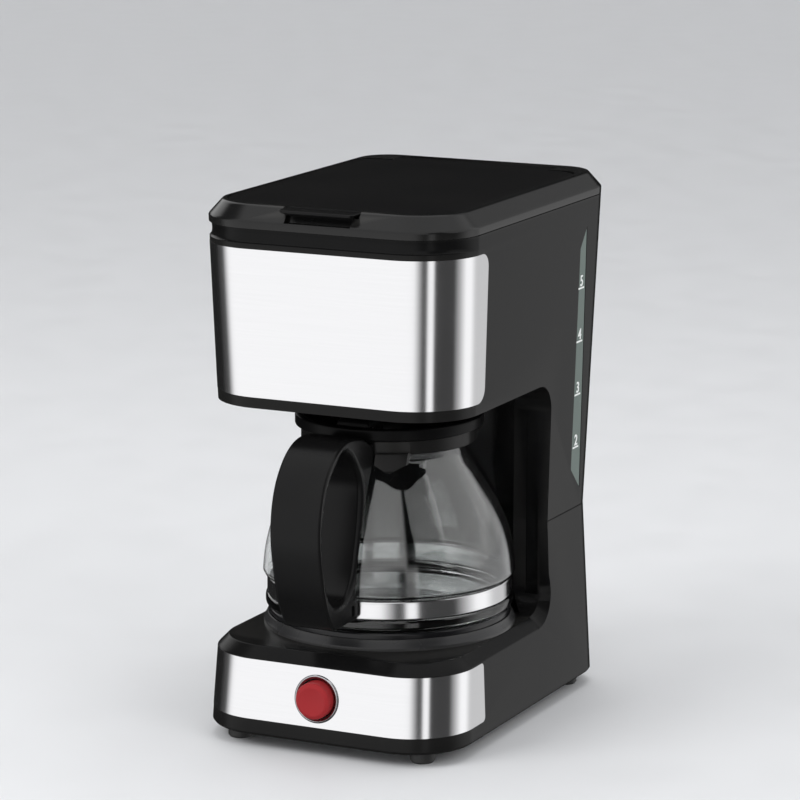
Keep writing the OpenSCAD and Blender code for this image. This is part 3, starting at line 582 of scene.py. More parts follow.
@dataclass(frozen=True)
class Woven(Finish):
    """Fine woven mesh, drawn by the threads' own rise and fall."""

    pitch: float = 0.7
    gap: Colour = (0.03, 0.02, 0.01)

    def build(self) -> bpy.types.Material:
        """Builds the mesh."""
        material, wires, shader = self.shader()
        place = wires.add("ShaderNodeTexCoord").outputs["Object"]
        parts = wires.add("ShaderNodeSeparateXYZ", {0: place}).outputs
        turn = wires.maths("ARCTAN2", parts["Y"], parts["X"])
        waves = TURN / (self.pitch * MM)
        warp = wires.maths("SINE", wires.maths("MULTIPLY", turn, 360.0))
        weft = wires.maths("SINE", wires.maths("MULTIPLY", parts["Z"], waves))
        thread = wires.maths("MAXIMUM", warp, weft)
        tint = wires.blend(
            wires.spread(thread, -0.2, 0.8, (0.0, 1.0)), rgba(self.gap), rgba(self.colour))
        wires.tree.links.new(tint, shader.inputs["Base Color"])
        shader.inputs["Roughness"].default_value = self.low
        self.bump(wires, shader, thread, 0.6)
        return material


HOUSING = Finish("housing_black", (0.0042, 0.0042, 0.0044), 0.20, 0.23, 1600, 0.05, 0.02, wear=0.04,
                 specular=0.07)
RIM = Finish("rim_black", (0.0045, 0.0045, 0.0047), 0.16, 0.19, 1500, 0.04, 0.01, wear=0.05, specular=0.22)
LID = Finish("lid_black", (0.0025, 0.0025, 0.0027), 0.255, 0.265, 1500, 0.02, 0.0, specular=0.12)
STEEL = Brushed("polished_steel", (0.58, 0.58, 0.59), 0.12, 0.17, grain=0.008, metallic=1.0,
                lines=(30.0, 30.0, 4000.0), shade=(0.562, 0.562, 0.572))
CHROME = Brushed("bezel_chrome", (0.36, 0.36, 0.37), 0.12, 0.20, grain=0.02, metallic=1.0,
                 lines=(900.0, 900.0, 900.0), shade=(0.30, 0.30, 0.31))
RED = Finish("button_red", (0.34, 0.026, 0.030), 0.24, 0.30, 1200, 0.04, 0.0, (0.5, 0.1, 0.1), 0.06,
             specular=0.08)
PLASTIC = Finish("dark_plastic", (0.02, 0.02, 0.021), 0.38, 0.48, 1300, 0.10, 0.05)
RUBBER = Finish("foot_rubber", (0.012, 0.012, 0.012), 0.60, 0.75, 900, 0.25, 0.15)
NONSTICK = Finish("nonstick_black", (0.006, 0.006, 0.007), 0.20, 0.26, 2400, 0.10, 0.01, specular=0.25)
RING = Finish("ring_grey", (0.022, 0.022, 0.023), 0.24, 0.30, 1600, 0.06, 0.02, wear=0.10, specular=0.25)
ALUMINIUM = Brushed("cast_aluminium", (0.62, 0.63, 0.65), 0.30, 0.50, grain=0.2, metallic=1.0,
                    lines=(700.0, 700.0, 700.0), shade=(0.45, 0.46, 0.48))
ZINC = Brushed("zinc_plate", (0.60, 0.60, 0.62), 0.25, 0.40, grain=0.1, metallic=1.0,
               lines=(1500.0, 1500.0, 300.0), shade=(0.42, 0.42, 0.44))
BRASS = Brushed("brass", (0.72, 0.55, 0.26), 0.22, 0.35, grain=0.08, metallic=1.0,
                lines=(1200.0, 1200.0, 300.0), shade=(0.55, 0.40, 0.18))
SILICONE = Finish("hose_silicone", (0.56, 0.53, 0.48), 0.45, 0.60, 700, 0.12, 0.05, (0.35, 0.33, 0.3))
TANK = Finish("tank_milky", (0.42, 0.45, 0.46), 0.25, 0.38, 800, 0.06, 0.04, (0.6, 0.6, 0.58))
WINDOW = Finish("window_grey_green", (0.085, 0.122, 0.107), 0.18, 0.28, 500, 0.03, 0.02,
                (0.24, 0.30, 0.27), specular=0.3)
INK = Finish("mark_ink", (0.62, 0.70, 0.66), 0.45, 0.55, 2500, 0.05, 0.0)
MESH = Woven("filter_mesh", (0.42, 0.33, 0.18), 0.45, 0.5)
NYLON = Finish("white_nylon", (0.62, 0.62, 0.60), 0.40, 0.50, 900, 0.08, 0.05)
SEAL = Finish("seal_red", (0.36, 0.05, 0.03), 0.50, 0.60, 900, 0.10, 0.05)
GLASS = Clear("carafe_glass", (0.97, 0.985, 0.98), 0.0, 0.01, grain=0.008, transmission=1.0,
              specular=0.36)
CARAFE_ABS = Finish("carafe_black", (0.0040, 0.0040, 0.0042), 0.24, 0.27, 1500, 0.05, 0.01, wear=0.05,
                    specular=0.12)
FLOOR = Finish("pale_floor", (0.76, 0.765, 0.775), 0.55, 0.65, 300, 0.02, 0.0, (0.7, 0.7, 0.7))
JUG_LID = Finish("jug_lid_black", (0.0035, 0.0035, 0.0037), 0.28, 0.33, 1500, 0.05, 0.01, specular=0.06)


# ---- Body shape ----


@dataclass(frozen=True)
class BodyShape:
    """The outline that the base, the head, the rim and the steel bands share."""

    foot: float = 6.4
    waist: float = 97.0
    rim: float = 260.4
    top: float = 268.0
    widths: Place = (139.2, 132.7, 141.9)
    fronts: Place = (-91.0, -81.5, -87.0)
    rears: Place = (106.3, 102.1, 111.3)
    front_radius: float = 32.0
    rear_radius: float = 24.0
    steps: int = 20

    def at(self, z: float, measures: Place) -> float:
        """A measure of the body at height z, straight to the waist and on to the rim."""
        low, mid, high = measures
        if z < self.waist:
            return low + (mid - low) * (z - self.foot) / (self.waist - self.foot)
        return mid + (high - mid) * (z - self.waist) / (self.rim - self.waist)

    def half(self, z: float) -> float:
        """Half the width at height z."""
        return self.at(z, self.widths) / 2

    def front(self, z: float) -> float:
        """Where the front face is at height z."""
        return self.at(z, self.fronts)

    def ring(self, z: float, inset: Inset = 0.0) -> list[Place]:
        """The outline at height z.

        Args:
            z: Height.
            inset: How far the outline moves in, or a function of the place along Y.

        Returns:
            Points of the closed outline.
        """
        half, front, rear = self.half(z), self.front(z), self.at(z, self.rears)
        rf, rr = self.front_radius, self.rear_radius
        out: list[Place] = []
        for cx, cy, radius, start in (
            (half - rr, rear - rr, rr, 0), (rr - half, rear - rr, rr, 90),
            (rf - half, front + rf, rf, 180), (half - rf, front + rf, rf, 270),
        ):
            for i in range(self.steps + 1):
                angle = math.radians(start + 90 * i / self.steps)
                cos, sin = math.cos(angle), math.sin(angle)
                move = inset(cy + radius * sin) if callable(inset) else inset
                out.append((cx + (radius - move) * cos, cy + (radius - move) * sin, z))
        return out

    def solid(self, name: str, levels: Sequence[tuple[float, Inset]]) -> bpy.types.Object:
        """A solid through levels of (height, inset)."""
        return Bench.loft(name, [self.ring(z, inset) for z, inset in levels])


SHAPE = BodyShape()


@dataclass
class Piece:
    """A finished object with the body it rides on, its slot and what it stands for."""

    obj: bpy.types.Object
    body: Body
    slot: str
    finish: Finish
    nodes: tuple[str, ...]

    def mount(self) -> None:
        """Dresses the piece and gives it to the frame."""
        self.obj.data.materials.clear()
        self.obj.data.materials.append(self.finish.material())
        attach(self.obj, self.body.value)
        if self.nodes:
            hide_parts(*self.nodes)
        LOG.info("%s: %d faces on %s", self.obj.name, len(self.obj.data.polygons), self.body.value)


@dataclass
class Bay:
    """The opening that holds the carafe, as a tool that is cut away."""

    floor: float = 50.0
    top: float = 169.0
    rear: float = 37.8
    radius: float = 66.0
    top_radius: float = 15.0
    low_radius: float = 14.0
    reach: float = 150.0
    axis_y: float = -8.0
    groove_x: Flat = (54.5, 61.0)
    groove_depth: float = 1.3
    steps: int = 12

    def profile(self, grow: float = 0.0) -> list[Flat]:
        """Side outline of the bay, grown on every side."""
        rear, low, high = self.rear + grow, self.floor - grow, self.top + grow
        corner_low = arc((rear - self.low_radius, low + self.low_radius), self.low_radius, -90, 0, self.steps)
        corner_top = arc((rear - self.top_radius, high - self.top_radius), self.top_radius, 0, 90, self.steps)
        return [(-self.reach, low), *corner_low, *corner_top, (-self.reach, high)]

    def tool(self, grow: float = 0.0) -> bpy.types.Object:
        """The bay as a solid, with the hollow wall behind the carafe."""
        outline = self.profile(grow)
        block = Bench.loft("bay", [sides(outline, x) for x in (-self.reach, self.reach)])
        hollow = Bench.rod(
            "hollow", (0, self.axis_y, self.floor - grow), (0, self.axis_y, self.top + grow),
            self.radius + grow, 128)
        return Bench.cut(block, hollow, Cut.JOIN)

    def groove(self, side: int, low: float, high: float) -> bpy.types.Object:
        """The upright groove in a pillar's face, as a solid to cut away."""
        near, far = sorted(side * x for x in self.groove_x)
        return Bench.block("groove", (near, self.rear - 1, low), (far, self.rear + self.groove_depth, high))

    def flare(
        self, side: int, width: float = 5.5, start: float = 8.0, fade_z: float = 70.0
    ) -> bpy.types.Object:
        """The bevel along the floor's edge, up round the corner and out at the parting line.

        Args:
            side: 1 for the right, -1 for the left.
            width: Width of the bevel on the floor.
            start: Where it starts along Y.
            fade_z: Height at which it has run out.

        Returns:
            A solid to cut away.
        """
        def outline(amount: float) -> list[Flat]:
            """The side outline moved out by amount, less and less with height."""
            centre = (self.rear - self.low_radius, self.floor + self.low_radius)
            points: list[Flat] = [(start, self.floor - amount)]
            for i in range(self.steps + 1):
                angle = math.radians(-90 + 90 * i / self.steps)
                height = centre[1] + self.low_radius * math.sin(angle)
                share = 1 - max(0.0, height - self.floor) / (fade_z - self.floor)
                radius = self.low_radius + amount * share
                points.append((centre[0] + radius * math.cos(angle), centre[1] + radius * math.sin(angle)))
            points += [(self.rear, fade_z), (start, fade_z)]
            return points

        inner = SHAPE.half(self.floor) - 5.2
        rings = [(inner - 0.02, 0.0), (inner + width, width), (inner + width + 12, width)]
        return Bench.loft("flare", [sides(outline(grow), side * x) for x, grow in rings])


BAY = Bay()


@dataclass
class Band:
    """A steel sheet wrapped round the front."""

    name: str
    low: float
    high: float
    end: float
    corner: float
    thick: float = 0.6
    proud: float = 0.15
    reach: float = 150.0

    def profile(self) -> bpy.types.Object:
        """The sheet's side outline, carried across the whole width."""
        turn = arc((self.end - self.corner, self.low + self.corner), self.corner, -90, 0, 8)
        turn += arc((self.end - self.corner, self.high - self.corner), self.corner, 0, 90, 8)
        outline = [(-self.reach, self.low), *turn, (-self.reach, self.high)]
        return Bench.loft("band_outline", [sides(outline, x) for x in (-self.reach, self.reach)])

    def recess(self) -> bpy.types.Object:
        """What the housing loses to seat the sheet."""
        core = SHAPE.solid("core", [(self.low - 3, self.thick), (self.high + 3, self.thick)])
        return Bench.cut(self.profile(), core)

    def sheet(self) -> bpy.types.Object:
        """The sheet itself."""
        outer = SHAPE.solid(self.name, [(self.low - 1, -self.proud), (self.high + 1, -self.proud)])
        core = SHAPE.solid("core", [(self.low - 2, self.thick), (self.high + 2, self.thick)])
        Bench.cut(outer, core)
        Bench.cut(outer, self.profile(), Cut.KEEP)
        return outer


BASE_BAND = Band("steel_band_base", 14.7, 44.2, -43.5, 2.5)
HEAD_BAND = Band("steel_band_head", 174.4, 247.2, -44.5, 7.0)


@dataclass
class Base:
    """The lower housing with its band, switch and foot line."""

    wall: float = 2.2
    bevel: float = 5.2
    bevel_low: float = 44.8
    switch_z: float = 28.8
    bezel_radius: float = 12.0
    cap_radius: float = 9.2
    face_radius: float = 7.4
    groove_low: float = 54.5
    hole_radius: float = 9.6
    inlet: Place = (-34.0, 105.0, 22.0)
    inlet_radius: float = 6.0

    def housing(self) -> bpy.types.Object:
        """The moulded base with its column."""
        foot = [(SHAPE.foot, 1.8), (SHAPE.foot + 0.5, 0.9), (SHAPE.foot + 1.6, 0.0)]
        low = SHAPE.solid("base_shell", [
            *foot, (self.bevel_low - 0.5, 0.0), (self.bevel_low + 0.1, 0.35),
            (BAY.floor - 0.45, self.bevel - 0.5), (BAY.floor, self.bevel + 0.3)])
        column = SHAPE.solid("column", [*foot, (SHAPE.waist - 0.35, 0.0), (SHAPE.waist, 0.4)])
        seam = BAY.rear - BAY.low_radius
        Bench.cut(low, Bench.block("front_part", (-120, -150, 0), (120, seam, 120)), Cut.KEEP)
        Bench.cut(column, Bench.block("rear_part", (-120, seam, 0), (120, 150, 120)), Cut.KEEP)
        Bench.cut(low, column, Cut.JOIN)
        cavity = SHAPE.solid("cavity", [
            (SHAPE.foot - 0.01, 1.5 + self.wall), (SHAPE.foot + 1.6, self.wall), (43.2, self.wall),
            (BAY.floor - 2.5, self.bevel)])
        Bench.cut(low, cavity)
        hollow = SHAPE.solid("hollow_column", [(BAY.floor - 3.6, self.wall), (SHAPE.waist + 0.1, self.wall)])
        Bench.cut(hollow, Bench.block("rear", (-120, BAY.rear + self.wall, 0), (120, 150, 120)), Cut.KEEP)
        Bench.cut(hollow, BAY.tool(self.wall))
        Bench.cut(low, hollow)
        Bench.cut(low, BAY.tool())
        for side in (1, -1):
            Bench.cut(low, BAY.flare(side))
            Bench.cut(low, BAY.groove(side, self.groove_low, SHAPE.waist + 1))
        face = SHAPE.front(self.switch_z)
        Bench.cut(low, BASE_BAND.recess())
        Bench.cut(low, Bench.rod("plate_seat", (0, BAY.axis_y, 46.5), (0, BAY.axis_y, 50.5), 57.1, 96))
        Bench.cut(low, Bench.rod(
            "hole", (0, face - 3, self.switch_z), (0, face + 4, self.switch_z), self.hole_radius))
        x, y, z = self.inlet
        Bench.cut(low, Bench.rod("inlet", (x, y - 4, z), (x, y + 4, z), self.inlet_radius))
        return Bench.smooth(low)

    def band(self) -> bpy.types.Object:
        """The steel sheet with the hole that the button goes through."""
        sheet, face = BASE_BAND.sheet(), SHAPE.front(self.switch_z)
        hole = Bench.rod(
            "hole", (0, face - 3, self.switch_z), (0, face + 4, self.switch_z), self.cap_radius + 0.8)
        return Bench.smooth(Bench.cut(sheet, hole))

    def bezel(self) -> bpy.types.Object:
        """The polished ring round the button, its back cut to sit on the steel."""
        r, cap = self.bezel_radius, self.cap_radius
        centre = (0, SHAPE.front(self.switch_z), self.switch_z)
        ring = Bench.turned("switch_ring", [
            (cap + 0.75, -1.5), (r, -1.5), (r, 0.25), (r - 0.15, 0.65), (r - 0.45, 0.95), (r - 0.85, 1.1),
            (r - 1.25, 1.0), (cap + 1.15, 0.6), (cap + 0.85, 0.35), (cap + 0.75, 0.0)], centre, Axis.LEANING)
        core = SHAPE.solid("core", [(8.0, -0.2), (44.2, -0.2)])
        return Bench.smooth(Bench.cut(ring, core))

    def button(self) -> bpy.types.Object:
        """The push button with a dished face."""
        cap, flat, top = self.cap_radius, self.face_radius, 6.0
        profile = [(0, -5.0), (cap, -5.0), (cap, top - 3.0)]
        profile += [(cap - 1.2 + 1.2 * math.cos(math.radians(a)), top - 1.8 + 1.2 * math.sin(math.radians(a)))
                    for a in (15, 40, 65)]
        profile += [(flat + 0.35, top - 0.28), (flat - 0.15, top - 0.02), (flat - 0.7, top - 0.06),
                    (flat - 2.2, top - 0.42), (flat - 4.6, top - 0.72), (0, top - 0.85)]
        centre = (0, SHAPE.front(self.switch_z), self.switch_z)
        cap_piece = Bench.turned("push_button", profile, centre, Axis.FORWARD, 72)
        face = centre[1]
        stem = Bench.rod("stem", (0, face + 4.5, self.switch_z), (0, face + 13, self.switch_z), 3.5)
        return Bench.smooth(Bench.cut(cap_piece, stem, Cut.JOIN))

    def pieces(self) -> list[Piece]:
        """All the base's pieces."""
        return [
            Piece(self.housing(), Body.ROOT, "black_abs", HOUSING, ("base_housing",)),
            Piece(self.band(), Body.ROOT, "steel", STEEL, ("base_band",)),
            Piece(self.bezel(), Body.ROOT, "chrome", CHROME, ("switch_bezel",)),
            Piece(self.button(), Body.BUTTON, "red_button", RED, ("switch_button",)),
        ]


@dataclass
class Head:
    """The upper housing, its band, the top rim, and the water window."""

    wall: float = 2.2
    cove: float = 249.8
    lip: float = 256.8
    over: float = 1.65
    groove_top: float = 152.0
    hollow: tuple[Flat, ...] = (
        (0, 0), (0.4, 0.75), (1.0, 1.2), (2.0, 1.5), (3.2, 1.62), (4.4, 1.6), (5.6, 1.5), (6.8, 1.35))
    rim_run: float = 7.3
    lid_half: float = 61.05
    lid_front: float = -77.1
    lid_radius: float = 22.1
    lid_rear: float = 85.7
    lid_swing: float = 1.8
    lid_rear_radius: float = 10.0
    barrel_half: float = 44.0
    gap: float = 0.6
    lid_thick: float = 3.0
    tab_half: float = 20.0
    hinge: Flat = (95.7, 262.3)
    barrel_clear: float = 6.6
    window: tuple[Flat, ...] = ((77.5, 106.5), (75.6, 242.4), (67.9, 231.9), (65.6, 118.0))
    marks_y: Flat = (67.0, 74.0)
    first_mark: float = 129.0
    mark_step: float = 27.5
    numeral: float = 7.8

    def cove_inset(self, depth: float) -> Callable[[float], float]:
        """Depth of the hollow under the lip, which fades round the front corners."""
        def inset(y: float) -> float:
            """Depth at place y."""
            share = min(1.0, max(0.0, (-52.0 - y) / 22.0))
            return depth * share * share * (3 - 2 * share)
        return inset

    def window_tool(self, grow: float) -> bpy.types.Object:
        """The window's outline as a bar through the right side wall."""
        outline = offset(self.window, -grow)
        return Bench.loft("window", [sides(outline, x) for x in (40, 150)])

    def housing(self) -> bpy.types.Object:
        """The moulded head and the upper column."""
        deep = self.over
        body = SHAPE.solid("head_shell", [(SHAPE.waist, 0.4), (SHAPE.waist + 0.35, 0.0)] + [
            (self.cove + rise, self.cove_inset(depth)) for rise, depth in self.hollow])
        cavity = SHAPE.solid("cavity", [
            (SHAPE.waist - 0.1, self.wall), (self.cove, self.wall), (self.cove + 1, self.wall + deep),
            (self.lip, self.wall + deep)])
        Bench.cut(cavity, BAY.tool(self.wall))
        Bench.cut(cavity, Bench.block(
            "fore", (-120, -150, 0), (120, BAY.rear + self.wall - 20, BAY.top + self.wall)))
        Bench.cut(body, cavity)
        Bench.cut(body, BAY.tool())
        Bench.cut(body, HEAD_BAND.recess())
        Bench.cut(body, self.window_tool(0.0))
        Bench.cut(body, Bench.rod("drip_hole", (0, BAY.axis_y, 168), (0, BAY.axis_y, 176), 26, 96))
        for side in (1, -1):
            Bench.cut(body, BAY.groove(side, SHAPE.waist - 1, self.groove_top))
        return Bench.smooth(body)

    def lid_loop(self, z: float, grow: float, behind: Optional[float] = None) -> list[Place]:
        """The lid's outline at height z, grown on every side and by another measure behind."""
        half, front = self.lid_half + grow, self.lid_front - grow
        rear = self.lid_rear + (grow if behind is None else behind)
        wide, tight = self.lid_radius + grow, max(self.lid_rear_radius + grow, 1.0)
        corners = ((wide - half, front + wide, wide, 180), (half - wide, front + wide, wide, 270),
                   (half - tight, rear - tight, tight, 0), (tight - half, rear - tight, tight, 90))
        return [(x, y, z) for cx, cy, r, start in corners for x, y in arc((cx, cy), r, start, start + 90, 16)]

    def rim(self) -> bpy.types.Object:
        """The chamfered frame round the lid."""
        frame_body = SHAPE.solid("top_rim", [
            (self.lip, 0.25), (self.lip + 0.25, 0.0), (SHAPE.rim - 0.5, 0.0), (SHAPE.rim + 0.1, 0.28),
            (SHAPE.rim + 0.75, 0.85), (SHAPE.rim + 1.05, 1.13), (SHAPE.top - 1.1, self.rim_run - 1.03),
            (SHAPE.top - 0.8, self.rim_run - 0.75), (SHAPE.top - 0.22, self.rim_run - 0.05),
            (SHAPE.top, self.rim_run + 0.7)])
        skirt = SHAPE.solid("skirt", [(self.lip - 6, 4.0), (self.lip + 0.5, 4.0)])
        Bench.cut(frame_body, skirt, Cut.JOIN)
        y, z = self.hinge
        half, clear = self.barrel_half + self.gap, self.barrel_clear
        for name, low, grow, behind in (
            ("recess", SHAPE.top - self.lid_thick - 0.05, self.gap, self.lid_swing),
            ("opening", self.lip - 8, -3.0, -2.0),
        ):
            loops = [self.lid_loop(h, grow, behind) for h in (low, SHAPE.top + 5)]
            Bench.cut(frame_body, Bench.loft(name, loops))
        Bench.cut(frame_body, Bench.rod("trough", (-half, y, z), (half, y, z), clear))
        Bench.cut(frame_body, Bench.block("trough_mouth", (-half, y, z), (half, y + clear, 300)))
        Bench.cut(frame_body, Bench.block("trough_front", (-half, y - 13, z - clear), (half, y, 300)))
        wide = self.tab_half + self.gap
        Bench.cut(frame_body, Bench.block(
            "tab_notch", (-wide, -95, SHAPE.top - self.lid_thick - 0.05), (wide, -70, SHAPE.top + 2)))
        scoop = [[(-wide + 2.6, -95, h), (wide - 2.6, -95, h), (wide - 3.2, y1, h), (-wide + 3.2, y1, h)]
                 for h, y1 in ((SHAPE.rim + 0.4, -82.6), (SHAPE.rim + 3, -81.2), (SHAPE.top - 1, -80.6))]
        Bench.cut(frame_body, Bench.loft("scoop", scoop))
        for side in (1, -1):
            Bench.cut(frame_body, Bench.rod("pin", (side * (half - 1), y, z), (side * (half + 5), y, z), 2.0))
        return Bench.smooth(frame_body)

    def window_panel(self) -> bpy.types.Object:
        """The clear strip that shows the water level."""
        panel = SHAPE.solid("level_glass", [(SHAPE.waist, 0.12), (SHAPE.rim, 0.12)])
        Bench.cut(panel, SHAPE.solid("core", [(SHAPE.waist - 1, 3.2), (SHAPE.rim + 1, 3.2)]))
        Bench.cut(panel, self.window_tool(-0.12), Cut.KEEP)
        return Bench.smooth(Bench.soften(panel, 0.35, 2, 50))

    def on_wall(self, obj: bpy.types.Object, base_z: float) -> bpy.types.Object:
        """Leans a flat piece drawn at base_z so that it follows the side wall."""
        for vertex in obj.data.vertices:
            vertex.co.x += (SHAPE.half(vertex.co.z / MM) - SHAPE.half(base_z)) * MM
        return obj

    def marks(self) -> bpy.types.Object:
        """Level lines with a plain numeral over each."""
        parts: list[bpy.types.Object] = []
        for i, digit in enumerate("2345"):
            z = self.first_mark + i * self.mark_step
            x = SHAPE.half(z)
            start, end = self.marks_y
            line = Bench.block("line", (x - 0.4, start, z - 0.45), (x + 0.12, end, z + 0.45), 0.1)
            parts.append(self.on_wall(line, z))
            bpy.ops.object.select_all(action="DESELECT")
            bpy.ops.object.text_add(location=(0, 0, 0))
            text = bpy.context.object
            text.data.body = digit
            text.data.size = self.numeral * MM
            text.data.align_x = "CENTER"
            text.data.extrude = 0.22 * MM
            text.data.offset = 0.10 * MM
            text.rotation_euler = (math.pi / 2, 0, math.pi / 2)
            text.location = Vector((x - 0.1, (start + end) / 2 + 0.2, z + 1.1)) * MM
            bpy.ops.object.convert(target="MESH")
            numeral = Bench.take(bpy.context.object)
            bpy.ops.object.transform_apply(location=True, rotation=True, scale=True)
            parts.append(self.on_wall(numeral, z))
        marks = Bench.join(parts, "level_lines")
        bpy.ops.object.mode_set(mode="EDIT")
        bpy.ops.mesh.select_all(action="SELECT")
        bpy.ops.mesh.remove_doubles(threshold=MERGE)
        bpy.ops.mesh.normals_make_consistent(inside=False)
        bpy.ops.object.mode_set(mode="OBJECT")
        return marks

    def pieces(self) -> list[Piece]:
        """All the head's pieces."""
        return [
            Piece(self.housing(), Body.ROOT, "black_abs", HOUSING, ("upper_housing",)),
            Piece(self.rim(), Body.ROOT, "rim_abs", RIM, ("top_frame",)),
            Piece(Bench.smooth(HEAD_BAND.sheet()), Body.ROOT, "steel", STEEL, ("head_band",)),
            Piece(self.window_panel(), Body.ROOT, "window_clear", WINDOW, ("level_window",)),
            Piece(self.marks(), Body.ROOT, "mark_ink", INK, ("level_marks",)),
        ]


@dataclass
class TankLid:
    """The hinged lid over the tank and the filter."""

    head: Head = field(default_factory=Head)
    top: float = 267.75
    barrel: float = 5.7

    def panel(self) -> bpy.types.Object:
        """The flat panel with its barrel and its finger tab."""
        head, (y, z) = self.head, self.head.hinge
        low = SHAPE.top - head.lid_thick
        levels = ((low, 0.0), (self.top - 0.35, 0.0), (self.top - 0.1, 0.12), (self.top, 0.4))
        panel = Bench.loft("tank_lid", [head.lid_loop(h, -d) for h, d in levels])
        half = head.barrel_half
        tongue = Bench.block("tongue", (-half, head.lid_rear - 3, low), (half, y, self.top))
        Bench.cut(panel, tongue, Cut.JOIN)
        Bench.cut(panel, Bench.rod("barrel", (-half, y, z), (half, y, z), self.barrel - 0.02, 72), Cut.JOIN)
        rows = ((264.7, 16.6, -86.3), (265.1, 17.0, -86.9), (266.0, 19.3, -87.55), (267.1, 20.0, -87.6),
                (267.4, 19.7, -87.3))
        tab = [[(-w, front + 1.2, h), (-w + 1.4, front, h), (w - 1.4, front, h), (w, front + 1.2, h),
                (w, -75.5, h), (-w, -75.5, h)] for h, w, front in rows]
        Bench.cut(panel, Bench.loft("tab", tab), Cut.JOIN)
        pad = [[(-w, -76.2 + d, h), (w, -76.2 + d, h), (w, -74.0 - d, h), (-w, -74.0 - d, h)]
               for h, w, d in ((267.0, 11.0, 0.0), (267.85, 11.0, 0.0), (268.0, 10.7, 0.3))]
        Bench.cut(panel, Bench.loft("pad", pad), Cut.JOIN)
        for side in (1, -1):
            Bench.cut(panel, Bench.rod(
                "bore", (side * (half - 8), y, z), (side * (half + 1), y, z), 2.05))
        return Bench.smooth(panel)

    def pieces(self) -> list[Piece]:
        """The lid."""
        return [Piece(self.panel(), Body.LID, "lid_abs", LID, ("lid",))]


@dataclass
class Hotplate:
    """The warming plate and the grey ring round it."""

    radius: float = 60.6
    top: float = 58.3
    ring_radius: float = 63.3
    ring_top: float = 55.3

    def pieces(self) -> list[Piece]:
        """Plate and ring."""
        centre = (0, BAY.axis_y, 0)
        r, t = self.radius, self.top
        plate = Bench.turned("warming_plate_top", [
            (0, 57.1), (r - 1.3, 57.1), (r - 1.3, 52.1), (r - 0.1, 52.1), (r, t - 1.3), (r - 0.15, t - 0.6),
            (r - 0.6, t - 0.12), (r - 1.2, t), (r - 4.5, t), (r - 5.3, t - 0.25), (18, t - 0.25),
            (16, t - 0.05), (0, t - 0.05)], centre, steps=128)
        q, inner = self.ring_radius, r + 0.2
        ring = Bench.turned("plate_surround", [
            (inner - 3.6, 50.0), (q, 50.0), (q + 0.0, 51.2), (q - 0.3, 51.9), (q - 0.9, 52.7),
            (inner + 0.5, self.ring_top - 0.15), (inner + 0.15, self.ring_top), (inner, self.ring_top - 0.3),
            (inner, 52.0), (inner - 3.6, 52.0)], centre, steps=128)
        return [
            Piece(Bench.smooth(plate), Body.ROOT, "nonstick", NONSTICK, ("warming_plate",)),
            Piece(Bench.smooth(ring, 40), Body.ROOT, "ring_plastic", RING, ("plate_ring",)),
        ]


